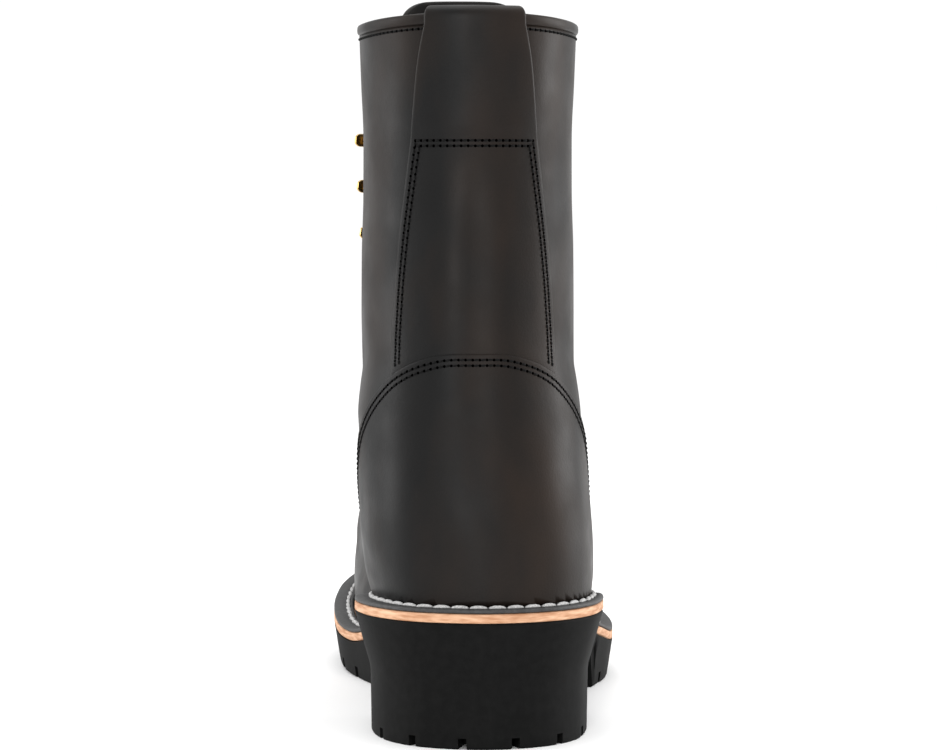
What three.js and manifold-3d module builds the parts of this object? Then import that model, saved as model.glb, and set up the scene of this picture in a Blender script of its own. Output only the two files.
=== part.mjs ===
// A logger boot for the right foot: a tall lace-up leather work boot with a welted sole and a high heel.
// Millimetres. +Z is up from the floor, the toe points to +Y and the outer side of the foot to +X.
// Each piece is worked out from the sole's outline, the side line of the sole and the sections of the upper.
import * as THREE from "three";
import { mergeVertices } from "three/addons/utils/BufferGeometryUtils.js";
import Module from "manifold-3d";

const { lerp, clamp, degToRad } = THREE.MathUtils;
const wasm = await Module();
wasm.setup();

// Sole
const soleLength = 306;
const heelWidth = 88;
const waistWidth = 80;
const ballWidth = 112.5;
const heelHeight = 45;
const treadThickness = 14.6;
const toeSpring = 20;
const waistThickness = 8;
const heelBreastTop = 95;
const heelBreastFoot = 84;
const treadStart = 150;
const heelTaper = 5.9;
const edgeDraft = 2.2;
const midsoleThickness = 3.2;
const weltThickness = 1.4;
const weltCrown = 0.35;
const weltWidth = 8.4;
const heelWeltWidth = 6;
const innerHeelWelt = 8.4;
const insoleThickness = 4;

// Tread
const lugDepth = 4.6;
const grooveWidth = 3.4;
const edgeLugLength = 15;
const lugPitch = 19;
const heelLugLength = 12;
const chevronTurn = 0.35;

// Upper
const wall = 2.6;
const shaftHeight = 203.5;
const collarFrontRise = 5;
const collarDip = 4.5;
const collarWidth = 78.6;
const shaftDepth = 116;
const ankleRise = 110;
const instepRise = 103;
const shaftLean = 4.4;
const widestFromBack = 52;

// Pieces on the upper
const counterRise = 88.4;
const counterReach = 84;
const counterThickness = 1.4;
const panelFootWidth = 66;
const panelTopWidth = 47.5;
const strapWidth = 35;
const strapInside = 30;
const strapThickness = 1.6;
const bindingHeight = 4.2;
const bindingProud = 0.8;

// Throat, tongue and lacing
const throatGap = 48;
const throatFootGap = 18;
const throatFootRise = 66;
const throatRounding = 12;
const tongueWidth = 60;
const tongueThickness = 3;
const tongueAbove = 8.5;
const tongueUnderVamp = 16;
const tongueCornerWidth = 16;
const tongueCornerHeight = 7;
const eyeletPairs = 5;
const hookPairs = 4;
const firstEyelet = 9;
const lastHook = 45;
const eyeletRadius = 3.1;
const eyeletBore = 2.2;
const eyeletFlange = 5.2;
const eyeletFromEdge = 13.5;
const rivetRise = 0.65;
const hookStem = 1.6;
const hookStand = 6.6;
const hookReach = 9.5;
const hookSheet = 0.95;
const hookBreadth = 5;
const laceDiameter = 3.6;
const laceClear = 1.5;

// Seats and clearances
const seat = 0.3;
const insoleFit = 2;
const tongueFit = 2.2;

// Facets
const stationCount = 24;

// A smooth curve through rows of [at, value], with no overshoot between them.
function curveThrough(rows) {
  const slopes = rows.slice(1).map(([at, value], i) => (value - rows[i][1]) / (at - rows[i][0]));
  const tangents = rows.map((_, i) => {
    const before = slopes[i - 1] ?? slopes[i];
    const after = slopes[i] ?? slopes[i - 1];
    return before * after <= 0 ? 0 : (2 * before * after) / (before + after);
  });
  return (at) => {
    const i = clamp(rows.findIndex((row) => row[0] > at) - 1, 0, rows.length - 2);
    const k = at >= rows.at(-1)[0] ? rows.length - 2 : i;
    const span = rows[k + 1][0] - rows[k][0];
    const t = (at - rows[k][0]) / span;
    const u = 1 - t;
    return (
      (1 + 2 * t) * u * u * rows[k][1] +
      t * u * u * span * tangents[k] +
      t * t * (3 - 2 * t) * rows[k + 1][1] -
      t * t * u * span * tangents[k + 1]
    );
  };
}

const ease = (at, from, to) => THREE.MathUtils.smoothstep(at, from, to);

// Outline of the sole seen from above, a row for each place along it. Along is a share of the length,
// inner and outer are shares of half the named width.
const halfWidths = { heel: heelWidth / 2, waist: waistWidth / 2, ball: ballWidth / 2 };
const outlineRows = [
  { along: 0.026, of: "heel", inner: 0.6, outer: 0.55 },
  { along: 0.075, of: "heel", inner: 0.9, outer: 0.85 },
  { along: 0.135, of: "heel", inner: 1.03, outer: 0.975 },
  { along: 0.2, of: "heel", inner: 1.04, outer: 1.015 },
  { along: 0.29, of: "waist", inner: 1.03, outer: 1.1 },
  { along: 0.38, of: "waist", inner: 0.9, outer: 1.13 },
  { along: 0.47, of: "waist", inner: 0.89, outer: 1.24 },
  { along: 0.56, of: "ball", inner: 0.76, outer: 1.03 },
  { along: 0.64, of: "ball", inner: 0.88, outer: 1.085 },
  { along: 0.72, of: "ball", inner: 0.915, outer: 1.04 },
  { along: 0.8, of: "ball", inner: 0.9, outer: 0.93 },
  { along: 0.875, of: "ball", inner: 0.825, outer: 0.755 },
  { along: 0.94, of: "ball", inner: 0.655, outer: 0.53 },
  { along: 0.983, of: "ball", inner: 0.395, outer: 0.27 },
];
const toeTip = -0.07;

// The outline as one closed curve, cut into its two sides.
function outlineSides() {
  const at = (row, share, sign) =>
    new THREE.Vector3(sign * share * halfWidths[row.of], row.along * soleLength, 0);
  const curve = new THREE.CatmullRomCurve3(
    [
      new THREE.Vector3(0, 0, 0),
      ...outlineRows.map((row) => at(row, row.outer, 1)),
      new THREE.Vector3(toeTip * halfWidths.ball, soleLength, 0),
      ...outlineRows.toReversed().map((row) => at(row, row.inner, -1)),
    ],
    true,
    "centripetal",
  );
  const points = curve.getPoints(outlineRows.length * 40);
  points.pop();
  const heel = points.indexOf(points.reduce((a, b) => (b.y < a.y ? b : a)));
  const turned = [...points.slice(heel), ...points.slice(0, heel)];
  const toe = turned.indexOf(turned.reduce((a, b) => (b.y > a.y ? b : a)));
  return { outer: turned.slice(0, toe + 1), inner: [turned[0], ...turned.slice(toe).reverse()] };
}
const sides = outlineSides();
const heelBack = sides.outer[0].y;
const toeFront = sides.outer.at(-1).y;

// The outline's point at y on one side, with its outward normal.
function edgeAt(side, y) {
  const line = sides[side];
  const i = clamp(line.findIndex((p) => p.y >= y), 1, line.length - 1);
  const [a, b] = [line[i - 1], line[i]];
  const t = clamp((y - a.y) / (b.y - a.y || 1), 0, 1);
  const along = b.clone().sub(a).normalize();
  const normal = side === "outer" ? [along.y, -along.x] : [-along.y, along.x];
  return { x: lerp(a.x, b.x, t), y, normal };
}

// Stations along the sole, close together at heel and toe, and at any other places asked for.
function stations(count, extra = []) {
  const even = Array.from({ length: count + 1 }, (_, k) =>
    lerp(heelBack, toeFront, (1 - Math.cos((Math.PI * k) / count)) / 2),
  );
  const kept = even.filter((y) => extra.every((e) => Math.abs(e - y) > 1.5));
  return [...kept, ...extra].sort((a, b) => a - b);
}

// A closed ring over the stations: heel, outer side, toe, inner side. Inset moves it in from the outline.
function soleRing(ys, insetOf, heightOf) {
  const point = (side, y) => {
    const { x, normal } = edgeAt(side, y);
    const inset = insetOf(y, side);
    const moved = y - normal[1] * inset;
    return [x - normal[0] * inset, moved, heightOf(moved)];
  };
  const tip = (y, inward) => {
    const moved = y + inward * insetOf(y);
    return [edgeAt("outer", y).x, moved, heightOf(moved)];
  };
  const between = ys.slice(1, -1);
  return [
    tip(ys[0], 1),
    ...between.map((y) => point("outer", y)),
    tip(ys.at(-1), -1),
    ...between.toReversed().map((y) => point("inner", y)),
  ];
}

// Side lines of the sole, all as heights above the floor.
const treadLine = (y) => toeSpring * Math.max(0, (y - 0.57 * soleLength) / (0.43 * soleLength)) ** 1.65;
const outsoleTop = curveThrough([
  [0, heelHeight],
  [0.1 * soleLength, heelHeight * 0.99],
  [0.2 * soleLength, heelHeight * 0.957],
  [0.3 * soleLength, heelHeight * 0.86],
  [0.4 * soleLength, lerp(treadThickness, heelHeight, 0.51)],
  [0.5 * soleLength, lerp(treadThickness, heelHeight, 0.185)],
  [0.6 * soleLength, treadThickness],
  [0.7 * soleLength, treadThickness + 0.1 * toeSpring],
  [0.8 * soleLength, treadThickness + 0.27 * toeSpring],
  [0.9 * soleLength, treadThickness + 0.52 * toeSpring],
  [soleLength, treadThickness + 0.84 * toeSpring],
]);
const midsoleFoot = (y) => outsoleTop(y) + seat;
const midsoleTop = (y) => midsoleFoot(y) + midsoleThickness;
const weltFoot = (y) => midsoleTop(y) + seat;
const weltTop = (y) => weltFoot(y) + weltThickness;
function weltInset(y, side) {
  const atHeel = side === "inner" ? lerp(heelWeltWidth, innerHeelWelt, ease(y, 0, 0.1 * soleLength)) : heelWeltWidth;
  return lerp(atHeel, weltWidth, ease(y, 0.25 * soleLength, 0.55 * soleLength));
}

function outsoleFoot(y) {
  if (y <= heelBreastFoot) return 0;
  const waist = outsoleTop(y) - waistThickness;
  if (y < heelBreastTop) return (waist * (y - heelBreastFoot)) / (heelBreastTop - heelBreastFoot);
  if (y < treadStart) return waist;
  return treadLine(y);
}

// Turns lists of points into solids.
function solidFrom(points, triangles) {
  const geometry = new THREE.BufferGeometry();
  geometry.setAttribute("position", new THREE.Float32BufferAttribute(points.flat(), 3));
  geometry.setIndex(triangles.flat());
  return manifoldOf(geometry);
}

function manifoldOf(geometry) {
  const bare = geometry.clone();
  bare.deleteAttribute("normal");
  bare.deleteAttribute("uv");
  const merged = mergeVertices(bare, 1e-4);
  const solid = new wasm.Manifold(
    new wasm.Mesh({
      numProp: 3,
      vertProperties: new Float32Array(merged.attributes.position.array),
      triVerts: new Uint32Array(merged.index.array),
    }),
  );
  if (solid.volume() > 0) return solid;
  const flipped = new Uint32Array(merged.index.array);
  for (let i = 0; i < flipped.length; i += 3) [flipped[i], flipped[i + 1]] = [flipped[i + 1], flipped[i]];
  return new wasm.Manifold(
    new wasm.Mesh({
      numProp: 3,
      vertProperties: new Float32Array(merged.attributes.position.array),
      triVerts: flipped,
    }),
  );
}

function geometryOf(solid) {
  const mesh = solid.getMesh();
  const geometry = new THREE.BufferGeometry();
  const positions = new Float32Array(mesh.numVert * 3);
  for (let i = 0; i < mesh.numVert; i++) {
    positions.set(mesh.vertProperties.subarray(i * mesh.numProp, i * mesh.numProp + 3), i * 3);
  }
  geometry.setAttribute("position", new THREE.BufferAttribute(positions, 3));
  geometry.setIndex(new THREE.BufferAttribute(mesh.triVerts, 1));
  const flat = geometry.toNonIndexed();
  flat.computeVertexNormals();
  return flat;
}

// The strip of triangles between two rings of as many points.
function band(from, to, count) {
  const triangles = [];
  for (let i = 0; i < count; i++) {
    const next = (i + 1) % count;
    triangles.push([from + i, from + next, to + i], [from + next, to + next, to + i]);
  }
  return triangles;
}

// A solid between sole rings, lowest first, closed above and below by strips across the sole.
function sole(rings) {
  const count = rings[0].length;
  const last = (rings.length - 1) * count;
  const triangles = rings.slice(1).flatMap((_, j) => band(j * count, (j + 1) * count, count));
  for (const [start, up] of [[0, false], [last, true]]) {
    for (let k = 0; k < count / 2; k++) {
      const outer = [start + k, start + k + 1];
      const inner = [start + ((count - k) % count), start + count - k - 1];
      const pair = [[outer[0], outer[1], inner[1]], [outer[0], inner[1], inner[0]]];
      const real = pair.filter((t) => new Set(t).size === 3);
      triangles.push(...real.map((t) => (up ? t : t.toReversed())));
    }
  }
  return solidFrom(rings.flat(), triangles);
}

// A solid through rings that close on themselves, the last joined to the first.
function hoop(rings) {
  const count = rings[0].length;
  const triangles = rings.flatMap((_, j) => band(j * count, ((j + 1) % rings.length) * count, count));
  return solidFrom(rings.flat(), triangles);
}

// A solid between two sheets of points, each a list of rows of as many points.
function slabBetween(low, high) {
  const [rows, columns] = [low.length, low[0].length];
  const at = (sheet, r, c) => sheet * rows * columns + r * columns + c;
  const triangles = [];
  const quad = (a, b, c, d) => triangles.push([a, b, c], [a, c, d]);
  for (let r = 0; r < rows - 1; r++) {
    for (let c = 0; c < columns - 1; c++) {
      quad(at(1, r, c), at(1, r, c + 1), at(1, r + 1, c + 1), at(1, r + 1, c));
      quad(at(0, r, c), at(0, r + 1, c), at(0, r + 1, c + 1), at(0, r, c + 1));
    }
    quad(at(0, r, 0), at(1, r, 0), at(1, r + 1, 0), at(0, r + 1, 0));
    quad(at(0, r, columns - 1), at(0, r + 1, columns - 1), at(1, r + 1, columns - 1), at(1, r, columns - 1));
  }
  for (let c = 0; c < columns - 1; c++) {
    quad(at(0, 0, c), at(0, 0, c + 1), at(1, 0, c + 1), at(1, 0, c));
    quad(at(0, rows - 1, c), at(1, rows - 1, c), at(1, rows - 1, c + 1), at(0, rows - 1, c + 1));
  }
  return solidFrom([...low.flat(), ...high.flat()], triangles);
}

function boxSolid(size, centre, turn = 0) {
  const geometry = new THREE.BoxGeometry(...size);
  geometry.rotateZ(turn);
  geometry.translate(...centre);
  return manifoldOf(geometry);
}

// Sections of the upper, a row for each ring from the sole up to the collar. Back and front are where the
// ring meets the centre line at heel and toe, as shares of the sole's length. Rise is the height at the back
// above the welt, as a share of the ankle's rise, and crest the height at the front above the welt there,
// as a share of the instep's rise. Heel, ball and toe scale the outline of the sole. Ankle and oval say
// how far the ring has turned from that outline into an oval, at its back and at its front, and half is the oval's
// half width as a share of the collar's.
const footSections = [
  { back: 0.0215, rise: -0.03, front: 0.971, crest: -0.03, heel: 1.0, ball: 1.0, toe: 1.0, ankle: 0, oval: 0, half: 1.0 },
  { back: 0.019, rise: 0.1, front: 0.976, crest: 0.115, heel: 1.055, ball: 0.96, toe: 1.02, ankle: 0, oval: 0, half: 1.02 },
  { back: 0.0175, rise: 0.22, front: 0.972, crest: 0.235, heel: 1.07, ball: 0.87, toe: 1.01, ankle: 0.1, oval: 0, half: 1.02 },
  { back: 0.02, rise: 0.34, front: 0.954, crest: 0.345, heel: 1.065, ball: 0.85, toe: 0.97, ankle: 0.3, oval: 0.02, half: 1.02 },
  { back: 0.026, rise: 0.45, front: 0.922, crest: 0.43, heel: 1.05, ball: 0.82, toe: 0.9, ankle: 0.5, oval: 0.06, half: 1.03 },
  { back: 0.033, rise: 0.55, front: 0.872, crest: 0.487, heel: 1.035, ball: 0.8, toe: 0.84, ankle: 0.66, oval: 0.14, half: 1.05 },
  { back: 0.04, rise: 0.63, front: 0.806, crest: 0.53, heel: 1.02, ball: 0.79, toe: 0.8, ankle: 0.78, oval: 0.26, half: 1.05 },
  { back: 0.046, rise: 0.7, front: 0.733, crest: 0.595, heel: 1.01, ball: 0.79, toe: 0.79, ankle: 0.86, oval: 0.4, half: 1.035 },
  { back: 0.0505, rise: 0.77, front: 0.66, crest: 0.69, heel: 1.0, ball: 0.8, toe: 0.8, ankle: 0.92, oval: 0.56, half: 1.01 },
  { back: 0.0535, rise: 0.84, front: 0.592, crest: 0.815, heel: 1.0, ball: 0.82, toe: 0.82, ankle: 0.96, oval: 0.74, half: 0.985 },
  { back: 0.0555, rise: 0.92, front: 0.536, crest: 0.955, heel: 1.0, ball: 0.84, toe: 0.84, ankle: 0.99, oval: 0.9, half: 0.984 },
];
// Sections of the shaft. Rise is a share of the way from the ankle to the collar, at the back and at the
// front. Back is a share of the sole's length and depth a share of the shaft's depth at the collar.
const shaftSections = [
  { rise: 0.0, back: 0.0565, depth: 1.155, half: 0.984 },
  { rise: 0.21, back: 0.057, depth: 1.085, half: 0.98 },
  { rise: 0.41, back: 0.057, depth: 1.04, half: 0.965 },
  { rise: 0.61, back: 0.056, depth: 1.012, half: 0.963 },
  { rise: 0.81, back: 0.0545, depth: 1.002, half: 0.983 },
  { rise: 1.0, back: 0.053, depth: 1.0, half: 1.0 },
];

const weltAtHeel = weltTop(0);
const collarZ = weltAtHeel + shaftHeight;
const feather = (y, side) => weltInset(y, side) + seat;
const shaftFrontZ = weltTop(0.5 * soleLength) + instepRise * 1.1;

// Every section with its sizes in millimetres.
const sections = [
  ...footSections.map((row) => ({
    backY: row.back * soleLength,
    backZ: weltAtHeel + row.rise * ankleRise,
    frontY: row.front * soleLength,
    frontZ: weltTop(row.front * soleLength) + row.crest * instepRise,
    heel: row.heel,
    ball: row.ball,
    toe: row.toe,
    ankle: row.ankle,
    oval: row.oval,
    half: (row.half * collarWidth) / 2,
    follow: 1 - row.oval,
    dip: 0,
  })),
  ...shaftSections.map((row) => ({
    backY: row.back * soleLength,
    backZ: lerp(weltAtHeel + ankleRise, collarZ, row.rise),
    frontY: row.back * soleLength + row.depth * shaftDepth,
    frontZ: lerp(shaftFrontZ, collarZ + collarFrontRise, row.rise),
    heel: 1,
    ball: 0.84,
    toe: 0.84,
    ankle: 1,
    oval: 1,
    half: (row.half * collarWidth) / 2,
    follow: 0,
    dip: collarDip * row.rise ** 3,
  })),
];
const lastSection = sections.length - 1;
sections[0].backZ = midsoleTop(0) + seat;
sections[0].frontZ = midsoleTop(sections[0].frontY) + seat;

const sectionCurves = Object.fromEntries(
  Object.keys(sections[0]).map((key) => [key, curveThrough(sections.map((row, j) => [j, row[key]]))]),
);
const sectionAt = (v) =>
  Object.fromEntries(Object.entries(sectionCurves).map(([key, curve]) => [key, curve(v)]));

// The foot line of the upper, where it meets the sole: for each station its share of the way from heel to
// toe, the middle between the two sides, and its own offset from that middle.
function footLine(count) {
  const ring = soleRing(stations(count), feather, () => 0);
  const back = ring[0][1];
  const front = ring[count][1];
  return ring.map(([x, y], i) => {
    const mirror = ring[(2 * count - i) % (2 * count)];
    const middle = (x + mirror[0]) / 2;
    return { share: (y - back) / (front - back), middle, offset: x - middle, sign: Math.sign(count - i) };
  });
}

// Half width of an oval with its widest place at a share of its length, as a share of the widest.
const backRoundness = 2.15;
const instepRoundness = 2.05;
const shaftRoundness = 2.6;
function oval(share, widest, frontRoundness) {
  const isBack = share < widest;
  const from = isBack ? (widest - share) / widest : (share - widest) / (1 - widest);
  const power = isBack ? backRoundness : frontRoundness;
  return Math.max(0, 1 - Math.min(1, from) ** power) ** (1 / power);
}

// One ring of the upper's outer surface, at any place between the sections. It leans to the inner side.
const leanRings = 7;
const roundnessRings = [9, 13];
function upperRing(v, line) {
  const row = sectionAt(v);
  const length = row.frontY - row.backY;
  const lean = -shaftLean * (1 - Math.max(0, 1 - v / leanRings) ** 2);
  const roundness = lerp(instepRoundness, shaftRoundness, ease(v, ...roundnessRings));
  return line.map(({ share, middle, offset, sign }) => {
    const y = lerp(row.backY, row.frontY, share);
    const wide = lerp(row.heel, row.ball, ease(share, 0.3, 0.65));
    const foot = middle + offset * lerp(wide, row.toe, ease(share, 0.7, 0.93));
    const round = sign * row.half * oval(share, widestFromBack / length, roundness);
    const welt = weltTop(y) - lerp(weltTop(row.backY), weltTop(row.frontY), share);
    const dip = row.dip * Math.sin(Math.PI * clamp(share, 0, 1));
    const z = lerp(row.backZ, row.frontZ, share) + row.follow * welt - dip;
    const blend = lerp(row.ankle, row.oval, ease(share, 0.35, 0.7));
    return new THREE.Vector3(lean + lerp(foot, round, blend), y, z);
  });
}

const fineLine = footLine(72);
const fineRings = new Map();
function fineRing(v) {
  if (!fineRings.has(v)) fineRings.set(v, upperRing(v, fineLine));
  return fineRings.get(v);
}

// The point on ring v at a distance along it from its back or front centre, outer side positive.
function onRing(v, along, end) {
  const ring = fineRing(v);
  const count = ring.length;
  const step = (end === "front" ? -1 : 1) * (along < 0 ? -1 : 1);
  let left = Math.abs(along);
  let i = end === "front" ? count / 2 : 0;
  for (;;) {
    const next = (i + step + count) % count;
    const gap = ring[i].distanceTo(ring[next]);
    if (left <= gap) return ring[i].clone().lerp(ring[next], left / gap);
    left -= gap;
    i = next;
  }
}

// The same point lifted off the leather. Ring numbers past the last one go straight up from the collar.
const probe = 0.5;
const ringAbove = 20;
function onUpper(v, along, lift, end) {
  const at = Math.min(v, lastSection);
  const up = onRing(Math.min(lastSection, at + 0.06), along, end).sub(onRing(Math.max(0, at - 0.06), along, end));
  const across = onRing(at, along + probe, end).sub(onRing(at, along - probe, end));
  const normal = across.cross(up).normalize();
  if (v > lastSection) normal.setZ(0).normalize();
  return onRing(at, along, end)
    .addScaledVector(normal, end === "front" ? -lift : lift)
    .add(new THREE.Vector3(0, 0, (v - at) * ringAbove));
}

// A plate that follows the upper between two rings and two edges, and between two lifts off the leather.
function plate({ end, from, to, rows, columns, left, right, low, high }) {
  const sheet = (lift) =>
    Array.from({ length: rows + 1 }, (_, r) => {
      const v = lerp(from, to, r / rows);
      return Array.from({ length: columns + 1 }, (_, c) => {
        const along = lerp(left(v), right(v), c / columns);
        return onUpper(v, along, lift(v, along), end).toArray();
      });
    });
  return slabBetween(sheet(low), sheet(high));
}

// The ring number at a height on the centre line at the back or the front.
function ringAtHeight(z, end) {
  const heightOf = sectionCurves[end === "front" ? "frontZ" : "backZ"];
  let [low, high] = [0, lastSection];
  for (let i = 0; i < 30; i++) {
    const middle = (low + high) / 2;
    if (heightOf(middle) < z) low = middle;
    else high = middle;
  }
  return (low + high) / 2;
}

// Sole pieces
const plainStations = stations(stationCount);
const outsoleStations = stations(stationCount, [heelBreastFoot, heelBreastTop, treadStart - 1, treadStart]);
const isHeel = (y) => 1 - ease(y, heelBreastFoot, heelBreastTop + 8);

// Insets of the outsole's side at shares of its height: the heel's taper and the draft of the fore part.
const outsoleLevels = [
  { share: 0, heel: 1.02, fore: 1 },
  { share: 0.5, heel: 0.97, fore: 0.5 },
  { share: 0.6, heel: 0.82, fore: 0.4 },
  { share: 1, heel: 0, fore: 0 },
];

function outsole() {
  const rings = outsoleLevels.map(({ share, heel, fore }) =>
    soleRing(
      outsoleStations,
      (y) => lerp(fore * edgeDraft, heel * heelTaper, isHeel(y)),
      (y) => lerp(outsoleFoot(y), outsoleTop(y), share),
    ),
  );
  return treadGrooves().reduce((body, cut) => body.subtract(cut), sole(rings));
}

// A groove that follows the outline at two insets, between two places along the sole.
function channel(from, to, yFrom, yTo, heightOf) {
  const ring = (inset, rise) => soleRing(plainStations, () => inset, (y) => heightOf(y) + rise);
  const whole = hoop([
    ring(from, -lugDepth * 2),
    ring(from, lugDepth),
    ring(to, lugDepth),
    ring(to, -lugDepth * 2),
  ]);
  return whole.intersect(boxSolid([ballWidth * 2, yTo - yFrom, heelHeight * 2], [0, (yFrom + yTo) / 2, 0]));
}

// A groove from the edge of the sole inwards.
function edgeGroove(side, y, length, width, floor) {
  const { x, normal } = edgeAt(side, y);
  const past = 4;
  const centre = past - (length + past) / 2;
  return boxSolid(
    [length + past, width, lugDepth * 2],
    [x + normal[0] * centre, y + normal[1] * centre, floor],
    Math.atan2(normal[1], normal[0]),
  );
}

const heelNotchAngles = [14.5, 43.5, 72.5];
function treadGrooves() {
  const cuts = [];
  const first = treadStart + lugPitch / 2;
  const last = soleLength - lugPitch;
  cuts.push(channel(edgeLugLength, edgeLugLength + grooveWidth, treadStart + 4, last, treadLine));
  for (let y = first; y < last; y += lugPitch) {
    for (const side of ["outer", "inner"]) {
      cuts.push(edgeGroove(side, y, edgeLugLength + 1, grooveWidth, treadLine(y)));
    }
  }
  for (let y = first + lugPitch / 2; y < last - lugPitch; y += lugPitch) {
    const [outer, inner] = [edgeAt("outer", y).x, edgeAt("inner", y).x];
    const half = (outer - inner) / 2 - edgeLugLength;
    for (const side of [1, -1]) {
      const centre = [(outer + inner) / 2 + (side * half) / 2, y, treadLine(y)];
      cuts.push(boxSolid([half * 1.15, grooveWidth, lugDepth * 2], centre, side * chevronTurn));
    }
  }
  const heelMiddle = heelWidth / 2;
  const heelEdge = heelMiddle - heelTaper;
  for (const angle of heelNotchAngles) {
    for (const side of [1, -1]) {
      const turn = degToRad(side * angle - 90);
      const place = [Math.cos(turn) * heelEdge, heelMiddle + Math.sin(turn) * heelEdge, 0];
      cuts.push(boxSolid([heelLugLength * 2, grooveWidth * 0.9, lugDepth * 1.7], place, turn));
    }
  }
  for (const side of [1, -1]) {
    const place = [side * heelEdge, heelMiddle + lugPitch, 0];
    cuts.push(boxSolid([heelLugLength * 2, grooveWidth, lugDepth * 1.7], place));
  }
  cuts.push(boxSolid([grooveWidth, heelMiddle * 0.8, lugDepth * 1.5], [0, heelMiddle + 6, 0]));
  cuts.push(boxSolid([heelWidth * 0.5, grooveWidth, lugDepth * 1.5], [0, heelMiddle, 0]));
  return cuts;
}

const midsole = () =>
  sole([soleRing(plainStations, () => 0, midsoleFoot), soleRing(plainStations, () => 0, midsoleTop)]);

function welt() {
  const bevel = 0.7;
  const flare = 0.4;
  return hoop([
    soleRing(plainStations, () => 0, weltFoot),
    soleRing(plainStations, () => 0, (y) => weltTop(y) - bevel),
    soleRing(plainStations, () => bevel, weltTop),
    soleRing(plainStations, (y, side) => weltInset(y, side) - flare, (y) => weltTop(y) + weltCrown),
    soleRing(plainStations, weltInset, weltFoot),
  ]);
}

function insole() {
  const inset = (y, side) => feather(y, side) + wall + insoleFit;
  const foot = (y) => midsoleTop(y) + 1.6 * seat;
  return sole([
    soleRing(plainStations, inset, foot),
    soleRing(plainStations, inset, (y) => foot(y) + insoleThickness),
  ]);
}

// Upper pieces. A shell follows the upper between two rings and between two lifts off its outer surface,
// with the same facets as the upper.
const line = footLine(stationCount);
function outwardAt(v, i) {
  const step = 0.5;
  const ring = upperRing(v, line);
  const next = ring[(i + 1) % line.length];
  const before = ring[(i + line.length - 1) % line.length];
  const up = upperRing(Math.min(lastSection, v + step), line)[i].sub(
    upperRing(Math.max(0, v - step), line)[i],
  );
  const normal = next.clone().sub(before).cross(up);
  if (v <= 0 || v >= lastSection) normal.z = 0;
  return normal.normalize();
}

function liftedRing(v, lift, raise = 0) {
  const at = clamp(v, 0, lastSection);
  return upperRing(at, line).map((p, i) =>
    p
      .addScaledVector(outwardAt(at, i), lift)
      .add(new THREE.Vector3(0, 0, raise))
      .toArray(),
  );
}

function shell(from, to, low, high) {
  const places = [from];
  for (let v = Math.floor(from) + 1; v < to; v++) places.push(v);
  places.push(to);
  return hoop([
    ...places.map((v) => liftedRing(v, high)),
    ...places.toReversed().map((v) => liftedRing(v, low)),
  ]);
}

// A prism whose outline is given from the side as [y, z], or from the back as [x, z].
function prism(points, from) {
  const depth = 4 * shaftDepth;
  const geometry = new THREE.ExtrudeGeometry(new THREE.Shape(points.map((p) => new THREE.Vector2(...p))), {
    depth,
    bevelEnabled: false,
  });
  geometry.translate(0, 0, -depth / 2).rotateX(Math.PI / 2);
  if (from === "side") geometry.rotateZ(Math.PI / 2);
  return manifoldOf(geometry);
}

// The throat, as a distance along the upper from its front centre line.
const throatFootV = ringAtHeight(weltTop(0.68 * soleLength) + throatFootRise, "front");
const frontLength = (from, to) => {
  let length = 0;
  for (let v = from; v < to - 1e-6; v += (to - from) / 40) {
    length += onRing(v, 0, "front").distanceTo(onRing(Math.min(to, v + (to - from) / 40), 0, "front"));
  }
  return length;
};
const throatLength = frontLength(throatFootV, lastSection);
// The ring number at a distance up the throat from its foot.
const throatPlaces = 40;
const throatSteps = Array.from({ length: throatPlaces + 1 }, (_, i) => {
  const v = lerp(throatFootV, lastSection, i / throatPlaces);
  return [i === 0 ? 0 : frontLength(throatFootV, v), v];
});
const upThroat = curveThrough(throatSteps);
const throatPlace = curveThrough(throatSteps.map(([length, v]) => [v, length]));

function halfGap(v) {
  const up = Math.max(0, throatPlace(v));
  const opening = clamp(up / throatRounding, 0, 1);
  const half = lerp(throatFootGap, throatGap, ease(up, 0, throatLength)) / 2;
  return Math.max(0.5, half * Math.sqrt(1 - (1 - opening) ** 2));
}

function throatCut(low, high) {
  const rows = [0, 0.6, 2.4, 5, 8, 12, 30, 50, 70, 95, 120, throatLength].map(upThroat);
  const ends = [...rows, lastSection + 0.5];
  const sheet = (lift) =>
    ends.map((v) => [-1, -0.33, 0.33, 1].map((share) => onUpper(v, share * halfGap(v), lift, "front").toArray()));
  return slabBetween(sheet(low), sheet(high));
}

// A frame on the upper's front: X away from the throat, Z out of the leather.
function frontFrame(v, along, lift) {
  const place = onUpper(v, along, lift, "front");
  const out = onUpper(v, along, lift + 1, "front").sub(place).normalize();
  const across = onUpper(v, along + 1, lift, "front").sub(onUpper(v, along - 1, lift, "front"));
  const away = across.multiplyScalar(Math.sign(along)).projectOnPlane(out).normalize();
  return new THREE.Matrix4().makeBasis(away, out.clone().cross(away), out).setPosition(place);
}

// Where the eyelets and hooks are, from the foot of the throat up.
const fastenerRows = eyeletPairs + hookPairs;
function eachFastener(make) {
  for (let row = 0; row < fastenerRows; row++) {
    const v = upThroat(lerp(firstEyelet, throatLength - lastHook, row / (fastenerRows - 1)));
    for (const side of [1, -1]) make(v, side * (halfGap(v) + eyeletFromEdge), row, side);
  }
}

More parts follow.
